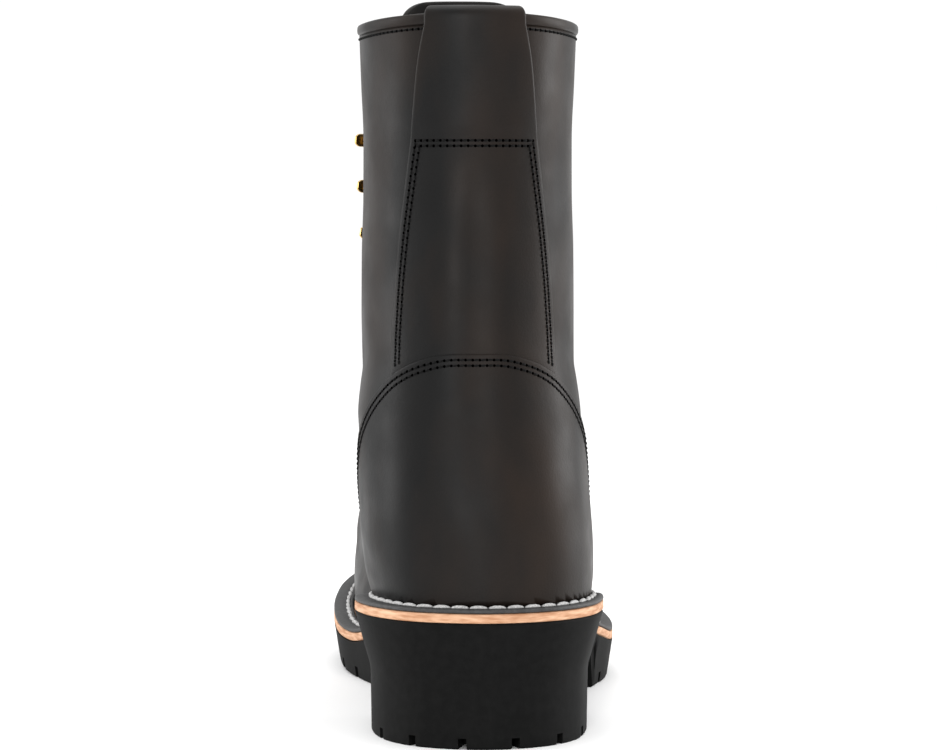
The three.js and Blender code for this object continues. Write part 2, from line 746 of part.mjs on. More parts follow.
function upper() {
  let body = shell(0, lastSection, -wall, 0).subtract(throatCut(-wall * 3, wall * 3));
  eachFastener((v, along, row) => {
    const isEyelet = row < eyeletPairs;
    const radius = (isEyelet ? eyeletRadius : hookStem) + seat;
    const hole = new THREE.CylinderGeometry(radius, radius, wall * 4, isEyelet ? 8 : 6);
    hole.rotateX(Math.PI / 2).applyMatrix4(frontFrame(v, along, -wall / 2));
    const seatRadius = eyeletFlange + seat;
    const flat = new THREE.CylinderGeometry(seatRadius, seatRadius, wall, 8);
    flat.rotateX(Math.PI / 2).applyMatrix4(frontFrame(v, along, rivetRise - seat + wall / 2));
    body = body.subtract(manifoldOf(hole)).subtract(manifoldOf(flat));
  });
  return body;
}

// Top edge of the heel counter seen from the side: a share of its reach and of its rise above the welt.
const counterEdge = [
  { along: -0.3, rise: 1.0 },
  { along: 0.19, rise: 1.0 },
  { along: 0.238, rise: 0.976 },
  { along: 0.321, rise: 0.917 },
  { along: 0.399, rise: 0.834 },
  { along: 0.476, rise: 0.747 },
  { along: 0.571, rise: 0.64 },
  { along: 0.679, rise: 0.517 },
  { along: 0.786, rise: 0.378 },
  { along: 0.893, rise: 0.22 },
  { along: 1.0, rise: 0.07 },
  { along: 1.05, rise: 0.02 },
];
function counter() {
  const edge = (share, rise) => {
    const y = share * counterReach;
    const foot = weltTop(Math.max(0, y)) + weltCrown + seat;
    return [y, foot + rise * (counterRise - weltCrown - seat)];
  };
  const upperEdge = counterEdge.map(({ along, rise }) => edge(along, rise));
  const lowerEdge = [1, 0.85, 0.7, 0.5, 0.3, 0.15, 0, -0.3].map((share) => edge(share, 0.01));
  const foot = 0.08;
  const past = 0.45;
  const top = ringAtHeight(weltAtHeel + counterRise, "back") + past;
  const whole = shell(foot, top, seat, seat + counterThickness);
  return whole.intersect(prism([...upperEdge, ...lowerEdge], "side"));
}

// The panel up the back and the pull strap, one strip of leather: up the outside from the counter, over the
// binding and down inside. Rise is a share of the way from the counter to the collar, and half the strip's
// half width as a share of the panel's at its foot. Bow is how far the strip stands off, as a share of what
// takes it over the binding.
const stripRows = [
  { rise: 0, half: 1, bow: 0 },
  { rise: 0.16, half: 0.965, bow: 0 },
  { rise: 0.34, half: 0.89, bow: 0 },
  { rise: 0.52, half: 0.797, bow: 0 },
  { rise: 0.66, half: panelTopWidth / panelFootWidth, bow: 0 },
  { rise: 0.76, half: 0.68, bow: 0.5 },
  { rise: 0.88, half: 0.615, bow: 0.9 },
  { rise: 1, half: strapWidth / panelFootWidth, bow: 1 },
];
function backstay() {
  const foot = weltAtHeel + counterRise + seat;
  const lie = 1.6 * seat;
  const overBinding = bindingProud + 2 * seat;
  const rows = stripRows.map(({ rise, half, bow }) => {
    const z = lerp(foot, collarZ, rise);
    const lift = lerp(lie, overBinding, bow);
    return { half: (half * panelFootWidth) / 2, faces: [[lift, z], [lift + strapThickness, z]] };
  });
  const radius = wall / 2 + overBinding;
  const turnZ = collarZ + 2 * seat + bindingHeight - radius;
  for (let turn = 0; turn <= 6; turn++) {
    const angle = (Math.PI * turn) / 6;
    const around = (r) => [Math.cos(angle) * r - wall / 2, turnZ + Math.sin(angle) * r];
    rows.push({ half: strapWidth / 2, faces: [around(radius), around(radius + strapThickness)] });
  }
  const inner = -wall - overBinding;
  for (const down of [0.35, 1]) {
    const z = collarZ - strapInside * down;
    rows.push({ half: strapWidth / 2, faces: [[inner, z], [inner - strapThickness, z]] });
  }
  const columns = 6;
  const sheet = (face) =>
    rows.map((row) =>
      Array.from({ length: columns + 1 }, (_, c) => {
        const [lift, z] = row.faces[face];
        const v = z > collarZ ? lastSection + (z - collarZ) / ringAbove : ringAtHeight(z, "back");
        return onUpper(v, lerp(-row.half, row.half, c / columns), lift, "back").toArray();
      }),
    );
  return slabBetween(sheet(0), sheet(1));
}

// The rolled binding that sits on the collar's edge, open at the throat.
function binding() {
  const [out, inside] = [bindingProud, -wall - bindingProud];
  const rings = [
    liftedRing(lastSection, out, seat),
    liftedRing(lastSection, out, seat + bindingHeight * 0.75),
    liftedRing(lastSection, -wall / 2, seat + bindingHeight),
    liftedRing(lastSection, inside, seat + bindingHeight * 0.75),
    liftedRing(lastSection, inside, seat),
  ];
  return hoop(rings).subtract(bindingGap());
}

function bindingGap() {
  const half = halfGap(lastSection);
  const [from, to] = [lastSection - 0.2, lastSection + 0.6];
  const sheet = (lift) =>
    [from, lastSection, to].map((v) =>
      [-1, -0.5, 0, 0.5, 1].map((share) => onUpper(v, share * half, lift, "front").toArray()),
    );
  return slabBetween(sheet(-wall * 4), sheet(wall * 4));
}

function tongue() {
  const foot = -tongueUnderVamp;
  const top = throatLength + tongueAbove;
  const ups = [0, 0.08, 0.18, 0.28, 0.39, 0.5, 0.61, 0.72, 0.83, 0.93, 0.967, 0.985, 1].map((t) => lerp(foot, top, t));
  const under = throatFootV - ringAtDepth(tongueUnderVamp);
  const ringAt = (up) => {
    if (up < 0) return throatFootV + (up / tongueUnderVamp) * under;
    if (up <= throatLength) return upThroat(up);
    return lastSection + (up - throatLength) / ringAbove;
  };
  const half = (up) => {
    const toTop = top - up;
    const short = Math.max(0, 1 - toTop / tongueCornerHeight);
    const rounding = tongueCornerWidth * (1 - Math.sqrt(1 - short ** 2));
    return tongueWidth / 2 - rounding;
  };
  const sheet = (lift) =>
    ups.map((up) =>
      Array.from({ length: 9 }, (_, c) =>
        onUpper(ringAt(up), lerp(-1, 1, c / 8) * half(up), lift, "front").toArray(),
      ),
    );
  return slabBetween(sheet(-wall - tongueFit - tongueThickness), sheet(-wall - tongueFit));
}

// The ring number at a distance below the throat's foot, towards the toe.
function ringAtDepth(distance) {
  let v = throatFootV;
  while (v > 0 && frontLength(v, throatFootV) < distance) v -= 0.02;
  return v;
}

// Eyelets and hooks, each on its own frame, with a rivet through the upper's hole.
function eyelet() {
  const profile = [
    [eyeletBore, -wall],
    [eyeletRadius, -wall],
    [eyeletRadius, rivetRise],
    [eyeletFlange, rivetRise],
    [eyeletBore, rivetRise + 0.95],
    [eyeletBore, -wall],
  ];
  const geometry = new THREE.LatheGeometry(profile.map((p) => new THREE.Vector2(...p)), 8);
  return geometry.rotateX(Math.PI / 2);
}

function hook() {
  const sheet = hookSheet;
  const back = -hookBreadth * 0.8;
  const foot = rivetRise;
  const corner = 1.5;
  const outline = [
    [hookBreadth * 0.7, foot],
    [back + corner, foot],
    [back, foot + corner],
    [back, hookStand - corner],
    [back + corner, hookStand],
    [hookReach, hookStand + 0.3],
    [hookReach, hookStand + 0.3 - sheet],
    [back + corner + 0.3, hookStand - sheet],
    [back + sheet, hookStand - corner - 0.3],
    [back + sheet, foot + corner + 0.3],
    [back + corner + 0.3, foot + sheet],
    [hookBreadth * 0.7, foot + sheet],
  ];
  const shape = new THREE.Shape(outline.map((p) => new THREE.Vector2(...p)));
  const curl = new THREE.ExtrudeGeometry(shape, { depth: hookBreadth, bevelEnabled: false });
  curl.translate(0, 0, -hookBreadth / 2).rotateX(Math.PI / 2);
  const length = wall + rivetRise + sheet / 2;
  const stem = new THREE.CylinderGeometry(hookStem, hookStem, length, 6);
  stem.rotateX(Math.PI / 2).translate(0, 0, length / 2 - wall);
  return manifoldOf(curl).add(manifoldOf(stem));
}

// The lace: two runs that zigzag over the tongue and are joined where they cross.
function lace() {
  const radius = laceDiameter / 2;
  const knots = [];
  eachFastener((v, along, row, side) => {
    if (side > 0) knots.push({ v, along: halfGap(v) + radius });
  });
  const run = (side) => {
    const points = [];
    const between = 3;
    for (let i = 0; i + 1 < knots.length; i++) {
      const turn = i % 2 === 0 ? side : -side;
      for (let k = i === 0 ? 0 : 1; k <= between; k++) {
        const t = k / between;
        const along = turn * lerp(-knots[i].along, knots[i + 1].along, t);
        points.push(onUpper(lerp(knots[i].v, knots[i + 1].v, t), along, radius + laceClear, "front"));
      }
    }
    return tube(points, radius, 5);
  };
  return run(1).add(run(-1));
}

// A tube along points, its ends closed.
function tube(points, radius, facets) {
  const rings = points.map((p, i) => {
    const along = points[Math.min(points.length - 1, i + 1)].clone().sub(points[Math.max(0, i - 1)]).normalize();
    const out = new THREE.Vector3(0, 1, 0.3).projectOnPlane(along).normalize();
    const side = along.cross(out);
    return Array.from({ length: facets }, (_, k) => {
      const turn = (2 * Math.PI * k) / facets;
      return p
        .clone()
        .addScaledVector(side, Math.cos(turn) * radius)
        .addScaledVector(out, Math.sin(turn) * radius)
        .toArray();
    });
  });
  const triangles = rings.slice(1).flatMap((_, j) => band(j * facets, (j + 1) * facets, facets));
  const last = (rings.length - 1) * facets;
  for (let k = 1; k + 1 < facets; k++) {
    triangles.push([0, k + 1, k], [last, last + k, last + k + 1]);
  }
  return solidFrom(rings.flat(), triangles);
}

const pieces = [];
function add(name, solid, color, roughness, metalness = 0) {
  const mesh = new THREE.Mesh(geometryOf(solid), new THREE.MeshStandardMaterial({ color, roughness, metalness }));
  mesh.name = name;
  pieces.push(mesh);
}

const blackRubber = 0x1c1d1c;
const tanLeather = 0xcd9c78;
const weltLeather = 0x3a3939;
const footbedFabric = 0x3b352e;
const blackLeather = 0x2a2828;
const blackCord = 0x1a1a1b;
const brass = 0xb58b45;

add("outsole", outsole(), blackRubber, 0.75);
add("midsole", midsole(), tanLeather, 0.7);
add("welt", welt(), weltLeather, 0.6);
add("insole", insole(), footbedFabric, 0.9);
add("upper", upper(), blackLeather, 0.5);
add("counter", counter(), blackLeather, 0.5);
add("backstay", backstay(), blackLeather, 0.5);
add("collar_binding", binding(), blackLeather, 0.5);
add("tongue", tongue(), blackLeather, 0.55);
add("lace", lace(), blackCord, 0.85);
eachFastener((v, along, row, side) => {
  const sideName = side > 0 ? "outer" : "inner";
  const isEyelet = row < eyeletPairs;
  const name = isEyelet ? `eyelet_${row + 1}_${sideName}` : `hook_${row - eyeletPairs + 1}_${sideName}`;
  const solid = isEyelet ? manifoldOf(eyelet()) : hook();
  add(name, solid.transform(frontFrame(v, along, 0).toArray()), brass, 0.35, 1);
});

// The origin is the middle of the boot's bounding box, on the floor.
const boot = new THREE.Group();
boot.add(...pieces);
const box = new THREE.Box3().setFromObject(boot);
const middle = box.getCenter(new THREE.Vector3());
boot.position.set(-middle.x, -middle.y, -box.min.z);
export default boot;
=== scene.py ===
"""The look of a logger boot for the right foot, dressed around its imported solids.

Shapes are worked out in millimetres with the heel's back at y 0, the toe at +y and the outer side at +x.
SHIFT takes them to the frame's origin, and metres() to metres."""

import math
import random

import bpy
import bmesh
import numpy as np
from mathutils import Matrix, Vector


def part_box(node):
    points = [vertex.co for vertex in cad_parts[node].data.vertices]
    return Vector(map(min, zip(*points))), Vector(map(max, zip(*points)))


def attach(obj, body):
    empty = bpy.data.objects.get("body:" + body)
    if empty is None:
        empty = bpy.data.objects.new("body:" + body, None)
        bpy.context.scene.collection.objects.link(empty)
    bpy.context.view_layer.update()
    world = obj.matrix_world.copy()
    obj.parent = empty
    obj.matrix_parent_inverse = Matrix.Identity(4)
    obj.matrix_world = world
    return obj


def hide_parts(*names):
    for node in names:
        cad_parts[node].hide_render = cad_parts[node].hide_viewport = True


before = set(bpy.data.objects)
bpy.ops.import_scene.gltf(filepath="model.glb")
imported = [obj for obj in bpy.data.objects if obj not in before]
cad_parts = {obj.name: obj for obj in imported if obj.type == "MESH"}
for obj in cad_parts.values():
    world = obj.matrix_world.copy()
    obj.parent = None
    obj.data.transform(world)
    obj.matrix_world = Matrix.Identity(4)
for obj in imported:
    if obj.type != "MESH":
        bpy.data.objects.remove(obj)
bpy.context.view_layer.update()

# sizes, millimetres
SOLE = dict(length=306.0, heel_width=88.0, waist_width=80.0, ball_width=112.5, heel_height=45.0,
            tread=14.6, toe_spring=20.0, waist_thickness=8.0, breast_top=95.0, breast_foot=84.0,
            tread_start=150.0, heel_taper=5.9, draft=2.2)
MIDSOLE_T = 3.2
WELT_T = 1.4
WELT_CROWN = 0.35
WELT_W = 8.4
HEEL_WELT_W = 6.0
INNER_HEEL_WELT_W = 8.4
WALL = 2.6
SEAT = 0.3
SHAFT_HEIGHT = 203.5
COLLAR_FRONT_RISE = 5.0
COLLAR_DIP = 4.5
COLLAR_WIDTH = 78.6
SHAFT_DEPTH = 116.0
ANKLE_RISE = 110.0
INSTEP_RISE = 103.0
SHAFT_LEAN = 4.4
WIDEST_FROM_BACK = 52.0


def lerp(a, b, t):
    return a + (b - a) * t


def ease(x, a, b):
    t = np.clip((x - a) / (b - a), 0, 1)
    return t * t * (3 - 2 * t)


def curve_through(rows):
    """A smooth curve through rows of (at, value), with no overshoot between them."""
    at = np.array([r[0] for r in rows], float)
    value = np.array([r[1] for r in rows], float)
    slopes = np.diff(value) / np.diff(at)
    before = np.concatenate([slopes[:1], slopes])
    after = np.concatenate([slopes, slopes[-1:]])
    with np.errstate(divide="ignore", invalid="ignore"):
        tangents = np.where(before * after <= 0, 0.0, 2 * before * after / (before + after))

    def call(x):
        x = np.asarray(x, float)
        k = np.clip(np.searchsorted(at, x, side="right") - 1, 0, len(at) - 2)
        span = at[k + 1] - at[k]
        t = np.clip((x - at[k]) / span, -0.2, 1.2)
        u = 1 - t
        return ((1 + 2 * t) * u * u * value[k] + t * u * u * span * tangents[k]
                + t * t * (3 - 2 * t) * value[k + 1] - t * t * u * span * tangents[k + 1])
    return call


# the sole's outline and side lines
HALF = dict(heel=44.0, waist=40.0, ball=56.25)
OUTLINE = [  # along, of, inner, outer
    (0.026, "heel", 0.6, 0.55), (0.075, "heel", 0.9, 0.85), (0.135, "heel", 1.03, 0.975),
    (0.2, "heel", 1.04, 1.015), (0.29, "waist", 1.03, 1.1), (0.38, "waist", 0.9, 1.13),
    (0.47, "waist", 0.89, 1.24), (0.56, "ball", 0.76, 1.03), (0.64, "ball", 0.88, 1.085),
    (0.72, "ball", 0.915, 1.04), (0.8, "ball", 0.9, 0.93), (0.875, "ball", 0.825, 0.755),
    (0.94, "ball", 0.655, 0.53), (0.983, "ball", 0.395, 0.27)]
TOE_TIP = -0.07


def centripetal(points, per):
    """Closed centripetal Catmull-Rom curve through points."""
    p = np.array(points, float)
    n = len(p)
    out = []
    for i in range(n):
        p0, p1, p2, p3 = p[(i - 1) % n], p[i], p[(i + 1) % n], p[(i + 2) % n]
        d0, d1, d2 = (max(np.linalg.norm(b - a), 1e-9) ** 0.5 for a, b in ((p0, p1), (p1, p2), (p2, p3)))
        t1 = (p1 - p0) / d0 - (p2 - p0) / (d0 + d1) + (p2 - p1) / d1
        t2 = (p2 - p1) / d1 - (p3 - p1) / (d1 + d2) + (p3 - p2) / d2
        t1, t2 = t1 * d1, t2 * d1
        t = np.linspace(0, 1, per, endpoint=False)[:, None]
        c2 = -3 * p1 + 3 * p2 - 2 * t1 - t2
        c3 = 2 * p1 - 2 * p2 + t1 + t2
        out.append(p1 + t1 * t + c2 * t ** 2 + c3 * t ** 3)
    return np.concatenate(out)


def outline_sides():
    length = SOLE["length"]
    pts = [(0.0, 0.0)]
    pts += [(o * HALF[of], a * length) for a, of, i, o in OUTLINE]
    pts += [(TOE_TIP * HALF["ball"], length)]
    pts += [(-i * HALF[of], a * length) for a, of, i, o in reversed(OUTLINE)]
    c = centripetal(pts, 40)
    heel = int(np.argmin(c[:, 1]))
    c = np.roll(c, -heel, axis=0)
    toe = int(np.argmax(c[:, 1]))
    return c[:toe + 1], np.concatenate([c[:1], c[toe:][::-1]])


OUTER, INNER = outline_sides()
HEEL_BACK, TOE_FRONT = OUTER[0, 1], OUTER[-1, 1]


def edge_at(side, y):
    """x on the outline at each y, and the outward normal."""
    line = OUTER if side > 0 else INNER
    y = np.asarray(y, float)
    i = np.clip(np.searchsorted(line[:, 1], y), 1, len(line) - 1)
    a, b = line[i - 1], line[i]
    t = np.clip((y - a[..., 1]) / np.where(np.abs(b[..., 1] - a[..., 1]) < 1e-9, 1, b[..., 1] - a[..., 1]), 0, 1)
    d = b - a
    d = d / np.maximum(np.linalg.norm(d, axis=-1, keepdims=True), 1e-9)
    normal = np.stack([d[..., 1], -d[..., 0]], -1) * side
    return lerp(a[..., 0], b[..., 0], t), normal


def stations(count):
    return lerp(HEEL_BACK, TOE_FRONT, (1 - np.cos(np.pi * np.arange(count + 1) / count)) / 2)


def sole_ring(count, inset_of):
    """Closed ring of x, y over the stations: heel tip, outer side, toe tip, inner side, moved in by inset."""
    ys = stations(count)
    between = ys[1:-1]

    def line(side):
        x, nrm = edge_at(side, between)
        inset = inset_of(between, side)
        return np.stack([x - nrm[:, 0] * inset, between - nrm[:, 1] * inset], 1)
    tip0 = [[edge_at(1, ys[0])[0], ys[0] + float(inset_of(ys[0]))]]
    tip1 = [[edge_at(1, ys[-1])[0], ys[-1] - float(inset_of(ys[-1]))]]
    return np.concatenate([tip0, line(1), tip1, line(-1)[::-1]])


# The frame's origin lies under the middle of the boot's box; the solids use 24 stations along the sole.
PLAIN_RING = sole_ring(24, lambda y, side=1: 0 * y)
SHIFT = np.array([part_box("midsole")[0][0] * 1000 - PLAIN_RING[:, 0].min(),
                  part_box("midsole")[0][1] * 1000 - PLAIN_RING[:, 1].min(), 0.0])


def tread_line(y):
    return SOLE["toe_spring"] * np.maximum(0, (y - 0.57 * L) / (0.43 * L)) ** 1.65


H, T, TS, L = SOLE["heel_height"], SOLE["tread"], SOLE["toe_spring"], SOLE["length"]
outsole_top = curve_through([
    (0, H), (0.1 * L, H * 0.99), (0.2 * L, H * 0.957), (0.3 * L, H * 0.86), (0.4 * L, lerp(T, H, 0.51)),
    (0.5 * L, lerp(T, H, 0.185)), (0.6 * L, T), (0.7 * L, T + 0.1 * TS), (0.8 * L, T + 0.27 * TS),
    (0.9 * L, T + 0.52 * TS), (L, T + 0.84 * TS)])


def midsole_foot(y):
    return outsole_top(y) + SEAT


def midsole_top(y):
    return midsole_foot(y) + MIDSOLE_T


def welt_foot(y):
    return midsole_top(y) + SEAT


def welt_top(y):
    return welt_foot(y) + WELT_T


def welt_inset(y, side=1):
    inside = ease(y, 0, 0.1 * L) * (side < 0)
    return lerp(lerp(HEEL_WELT_W, INNER_HEEL_WELT_W, inside), WELT_W, ease(y, 0.25 * L, 0.55 * L))


# the upper's sections
FOOT = [  # back, rise, front, crest, heel, ball, toe, ankle, oval, half
    (0.0215, -0.03, 0.971, -0.03, 1.0, 1.0, 1.0, 0, 0, 1.0),
    (0.019, 0.1, 0.976, 0.115, 1.055, 0.96, 1.02, 0, 0, 1.02),
    (0.0175, 0.22, 0.972, 0.235, 1.07, 0.87, 1.01, 0.1, 0, 1.02),
    (0.02, 0.34, 0.954, 0.345, 1.065, 0.85, 0.97, 0.3, 0.02, 1.02),
    (0.026, 0.45, 0.922, 0.43, 1.05, 0.82, 0.9, 0.5, 0.06, 1.03),
    (0.033, 0.55, 0.872, 0.487, 1.035, 0.8, 0.84, 0.66, 0.14, 1.05),
    (0.04, 0.63, 0.806, 0.53, 1.02, 0.79, 0.8, 0.78, 0.26, 1.05),
    (0.046, 0.7, 0.733, 0.595, 1.01, 0.79, 0.79, 0.86, 0.4, 1.035),
    (0.0505, 0.77, 0.66, 0.69, 1.0, 0.8, 0.8, 0.92, 0.56, 1.01),
    (0.0535, 0.84, 0.592, 0.815, 1.0, 0.82, 0.82, 0.96, 0.74, 0.985),
    (0.0555, 0.92, 0.536, 0.955, 1.0, 0.84, 0.84, 0.99, 0.9, 0.984)]
SHAFT = [  # rise, back, depth, half
    (0.0, 0.0565, 1.155, 0.984), (0.21, 0.057, 1.085, 0.98), (0.41, 0.057, 1.04, 0.965),
    (0.61, 0.056, 1.012, 0.963), (0.81, 0.0545, 1.002, 0.983), (1.0, 0.053, 1.0, 1.0)]
WELT_AT_HEEL = float(welt_top(0))
COLLAR_Z = WELT_AT_HEEL + SHAFT_HEIGHT
SHAFT_FRONT_Z = float(welt_top(0.5 * L)) + INSTEP_RISE * 1.1


def section_rows():
    rows = []
    for back, rise, front, crest, heel, ball, toe, ankle, oval, half in FOOT:
        rows.append(dict(back_y=back * L, back_z=WELT_AT_HEEL + rise * ANKLE_RISE, front_y=front * L,
                         front_z=float(welt_top(front * L)) + crest * INSTEP_RISE, heel=heel, ball=ball, toe=toe,
                         ankle=ankle, oval=oval, half=half * COLLAR_WIDTH / 2, follow=1 - oval, dip=0.0))
    for rise, back, depth, half in SHAFT:
        rows.append(dict(back_y=back * L, back_z=lerp(WELT_AT_HEEL + ANKLE_RISE, COLLAR_Z, rise),
                         front_y=back * L + depth * SHAFT_DEPTH,
                         front_z=lerp(SHAFT_FRONT_Z, COLLAR_Z + COLLAR_FRONT_RISE, rise), heel=1.0, ball=0.84, toe=0.84,
                         ankle=1.0, oval=1.0, half=half * COLLAR_WIDTH / 2, follow=0.0,
                         dip=COLLAR_DIP * rise ** 3))
    rows[0]["back_z"] = float(midsole_top(0)) + SEAT
    rows[0]["front_z"] = float(midsole_top(rows[0]["front_y"])) + SEAT
    return rows


SECTIONS = section_rows()
LAST = len(SECTIONS) - 1
SECTION_CURVES = {k: curve_through([(j, r[k]) for j, r in enumerate(SECTIONS)]) for k in SECTIONS[0]}


def foot_line(count):
    ring = sole_ring(count, lambda y, side=1: welt_inset(y, side) + SEAT)
    back, front = ring[0, 1], ring[count, 1]
    mirror = ring[(2 * count - np.arange(2 * count)) % (2 * count)]
    middle = (ring[:, 0] + mirror[:, 0]) / 2
    return dict(share=(ring[:, 1] - back) / (front - back), middle=middle, offset=ring[:, 0] - middle,
                sign=np.sign(count - np.arange(2 * count)) * (np.arange(2 * count) > 0))


def oval_half(share, widest, power_front):
    is_back = share < widest
    away = np.where(is_back, (widest - share) / widest, (share - widest) / (1 - widest))
    power = np.where(is_back, 2.15, power_front)
    return np.maximum(0, 1 - np.minimum(1, np.maximum(away, 0)) ** power) ** (1 / power)


def upper_ring(v, line):
    row = {k: float(c(v)) for k, c in SECTION_CURVES.items()}
    length = row["front_y"] - row["back_y"]
    lean = -SHAFT_LEAN * (1 - max(0.0, 1 - v / 7) ** 2)
    power = lerp(2.05, 2.6, ease(v, 9, 13))
    share = line["share"]
    y = lerp(row["back_y"], row["front_y"], share)
    wide = lerp(lerp(row["heel"], row["ball"], ease(share, 0.3, 0.65)), row["toe"], ease(share, 0.7, 0.93))
    foot = line["middle"] + line["offset"] * wide
    rnd = line["sign"] * row["half"] * oval_half(share, WIDEST_FROM_BACK / length, power)
    welt = welt_top(y) - lerp(float(welt_top(row["back_y"])), float(welt_top(row["front_y"])), share)
    dip = row["dip"] * np.sin(np.pi * np.clip(share, 0, 1))
    z = lerp(row["back_z"], row["front_z"], share) + row["follow"] * welt - dip
    blend = lerp(row["ankle"], row["oval"], ease(share, 0.35, 0.7))
    return np.stack([lean + lerp(foot, rnd, blend), y, z], 1)


# A fine grid of the upper's outer face: rows up it, columns round it from the back.
GRID_STEP = 0.025
GRID_V = np.arange(0, LAST + 1e-9, GRID_STEP)
LINE = foot_line(360)
GRID = np.stack([upper_ring(v, LINE) for v in GRID_V])          # rows, columns, xyz
COUNT = GRID.shape[1]


def ring_lengths():
    closed = np.concatenate([GRID, GRID[:, :1]], 1)
    return np.concatenate([np.zeros((len(GRID), 1)), np.cumsum(np.linalg.norm(np.diff(closed, axis=1), axis=2), 1)], 1), closed


ARC, CLOSED = ring_lengths()            # distance round each ring from the back, outer side first
ROUND = ARC[:, -1]                      # whole length of each ring
FRONT_ARC = ARC[:, COUNT // 2]          # distance of the front centre from the back


def ring_round(v):
    return np.interp(v, GRID_V, ROUND)


def on_ring_flat(v, along, front=False):
    """Points on rings v (any shape) at distance along from the back or front centre, outer side positive."""
    v = np.asarray(v, float)
    along = np.asarray(along, float)
    v, along = np.broadcast_arrays(v, along)
    shape = v.shape
    v, along = v.ravel(), along.ravel()
    f = np.clip(v / GRID_STEP, 0, len(GRID_V) - 1.000001)
    i = f.astype(int)
    t = (f - i)[:, None]

    def at(rows):
        total = ROUND[rows]
        s = FRONT_ARC[rows] - along if front else along
        s = np.mod(s, total)
        arc = ARC[rows]
        j = (arc[:, 1:] <= s[:, None]).sum(1)
        j = np.clip(j, 0, COUNT - 1)
        a, b = arc[np.arange(len(rows)), j], arc[np.arange(len(rows)), j + 1]
        w = ((s - a) / np.maximum(b - a, 1e-9))[:, None]
        return CLOSED[rows, j] * (1 - w) + CLOSED[rows, j + 1] * w
    out = np.empty((len(v), 3))
    step = 20000
    for k in range(0, len(v), step):
        r = slice(k, k + step)
        rows = i[r]
        keep = along
        along = keep[r]
        out[r] = at(rows) * (1 - t[r]) + at(rows + 1) * t[r]
        along = keep
    return out.reshape(shape + (3,))


def on_upper(v, along, lift=0.0, front=False, above=20.0):
    """The same points lifted off the leather along its normal. Past the last ring they go straight up."""
    v, along, lift = np.broadcast_arrays(np.asarray(v, float), np.asarray(along, float), np.asarray(lift, float))
    at = np.minimum(v, LAST)
    high, low = np.minimum(LAST, at + 0.06), np.maximum(0, at - 0.06)
    up = on_ring_flat(high, along, front) - on_ring_flat(low, along, front)
    across = on_ring_flat(at, along + 0.5, front) - on_ring_flat(at, along - 0.5, front)
    n = np.cross(across, up)
    n[v > LAST, 2] = 0
    n /= np.linalg.norm(n, axis=-1, keepdims=True)
    if front:
        n = -n
    out = on_ring_flat(at, along, front) + n * lift[..., None]
    out[..., 2] += np.maximum(0, v - LAST) * above
    return out


def v_at_back(z):
    return np.interp(z, SECTION_CURVES["back_z"](GRID_V), GRID_V)


def v_at_front(z):
    return np.interp(z, SECTION_CURVES["front_z"](GRID_V), GRID_V)


# Meshes. A shape is points in millimetres, faces, and the number of its material.
def metres(points):
    return (np.asarray(points, float) + SHIFT) * 0.001


def grid_faces(rows, columns, start=0):
    """Quads over a grid of points numbered row by row."""
    index = start + np.arange(rows * columns).reshape(rows, columns)
    return np.stack([index[:-1, :-1], index[:-1, 1:], index[1:, 1:], index[1:, :-1]], -1).reshape(-1, 4)


def slab(top, bottom, material=0):
    """A closed sheet between two grids of points."""
    rows, columns = top.shape[:2]
    size = rows * columns
    index = np.arange(size).reshape(rows, columns)
    rim = np.concatenate([index[0], index[1:, -1], index[-1, -2::-1], index[-2:0:-1, 0]])
    after = np.roll(rim, -1)
    sides = np.stack([rim, rim + size, after + size, after], -1)
    faces = [grid_faces(rows, columns), grid_faces(rows, columns, size)[:, ::-1], sides]
    return np.concatenate([top.reshape(-1, 3), bottom.reshape(-1, 3)]), np.concatenate(faces).tolist(), material


def tube(rings, material=0):
    """A closed tube through rings of as many points, its ends capped."""
    count, around = rings.shape[:2]
    closed = np.concatenate([rings, rings[:, :1]], 1)
    index = np.arange(count * around).reshape(count, around)
    index = np.concatenate([index, index[:, :1]], 1)
    faces = np.stack([index[:-1, :-1], index[:-1, 1:], index[1:, 1:], index[1:, :-1]], -1).reshape(-1, 4).tolist()
    faces += [index[0, :-1][::-1].tolist(), index[-1, :-1].tolist()]
    return closed[:, :-1].reshape(-1, 3), faces, material


def hoop(rings, material=0):
    """A solid through closed rings, the last joined to the first."""
    count, around = rings.shape[:2]
    index = np.arange(count * around).reshape(count, around)
    index = np.concatenate([index, index[:1]], 0)
    index = np.concatenate([index, index[:, :1]], 1)
    faces = np.stack([index[:-1, :-1], index[:-1, 1:], index[1:, 1:], index[1:, :-1]], -1).reshape(-1, 4)
    return rings.reshape(-1, 3), faces.tolist(), material


def sole_solid(rings, material=0):
    """A solid between sole rings, lowest first, closed below and above by strips across the sole."""
    levels, around = rings.shape[:2]
    index = np.arange(levels * around).reshape(levels, around)
    wrapped = np.concatenate([index, index[:, :1]], 1)
    faces = np.stack([wrapped[:-1, :-1], wrapped[:-1, 1:], wrapped[1:, 1:], wrapped[1:, :-1]], -1)
    faces = faces.reshape(-1, 4).tolist()
    half = around // 2
    for level, up in ((0, False), (levels - 1, True)):
        row = index[level]
        for k in range(half):
            strip = [row[k], row[k + 1], row[(around - k - 1) % around], row[(around - k) % around]]
            strip = list(dict.fromkeys(int(i) for i in strip))
            faces.append(strip if up else strip[::-1])
    return rings.reshape(-1, 3), faces, material


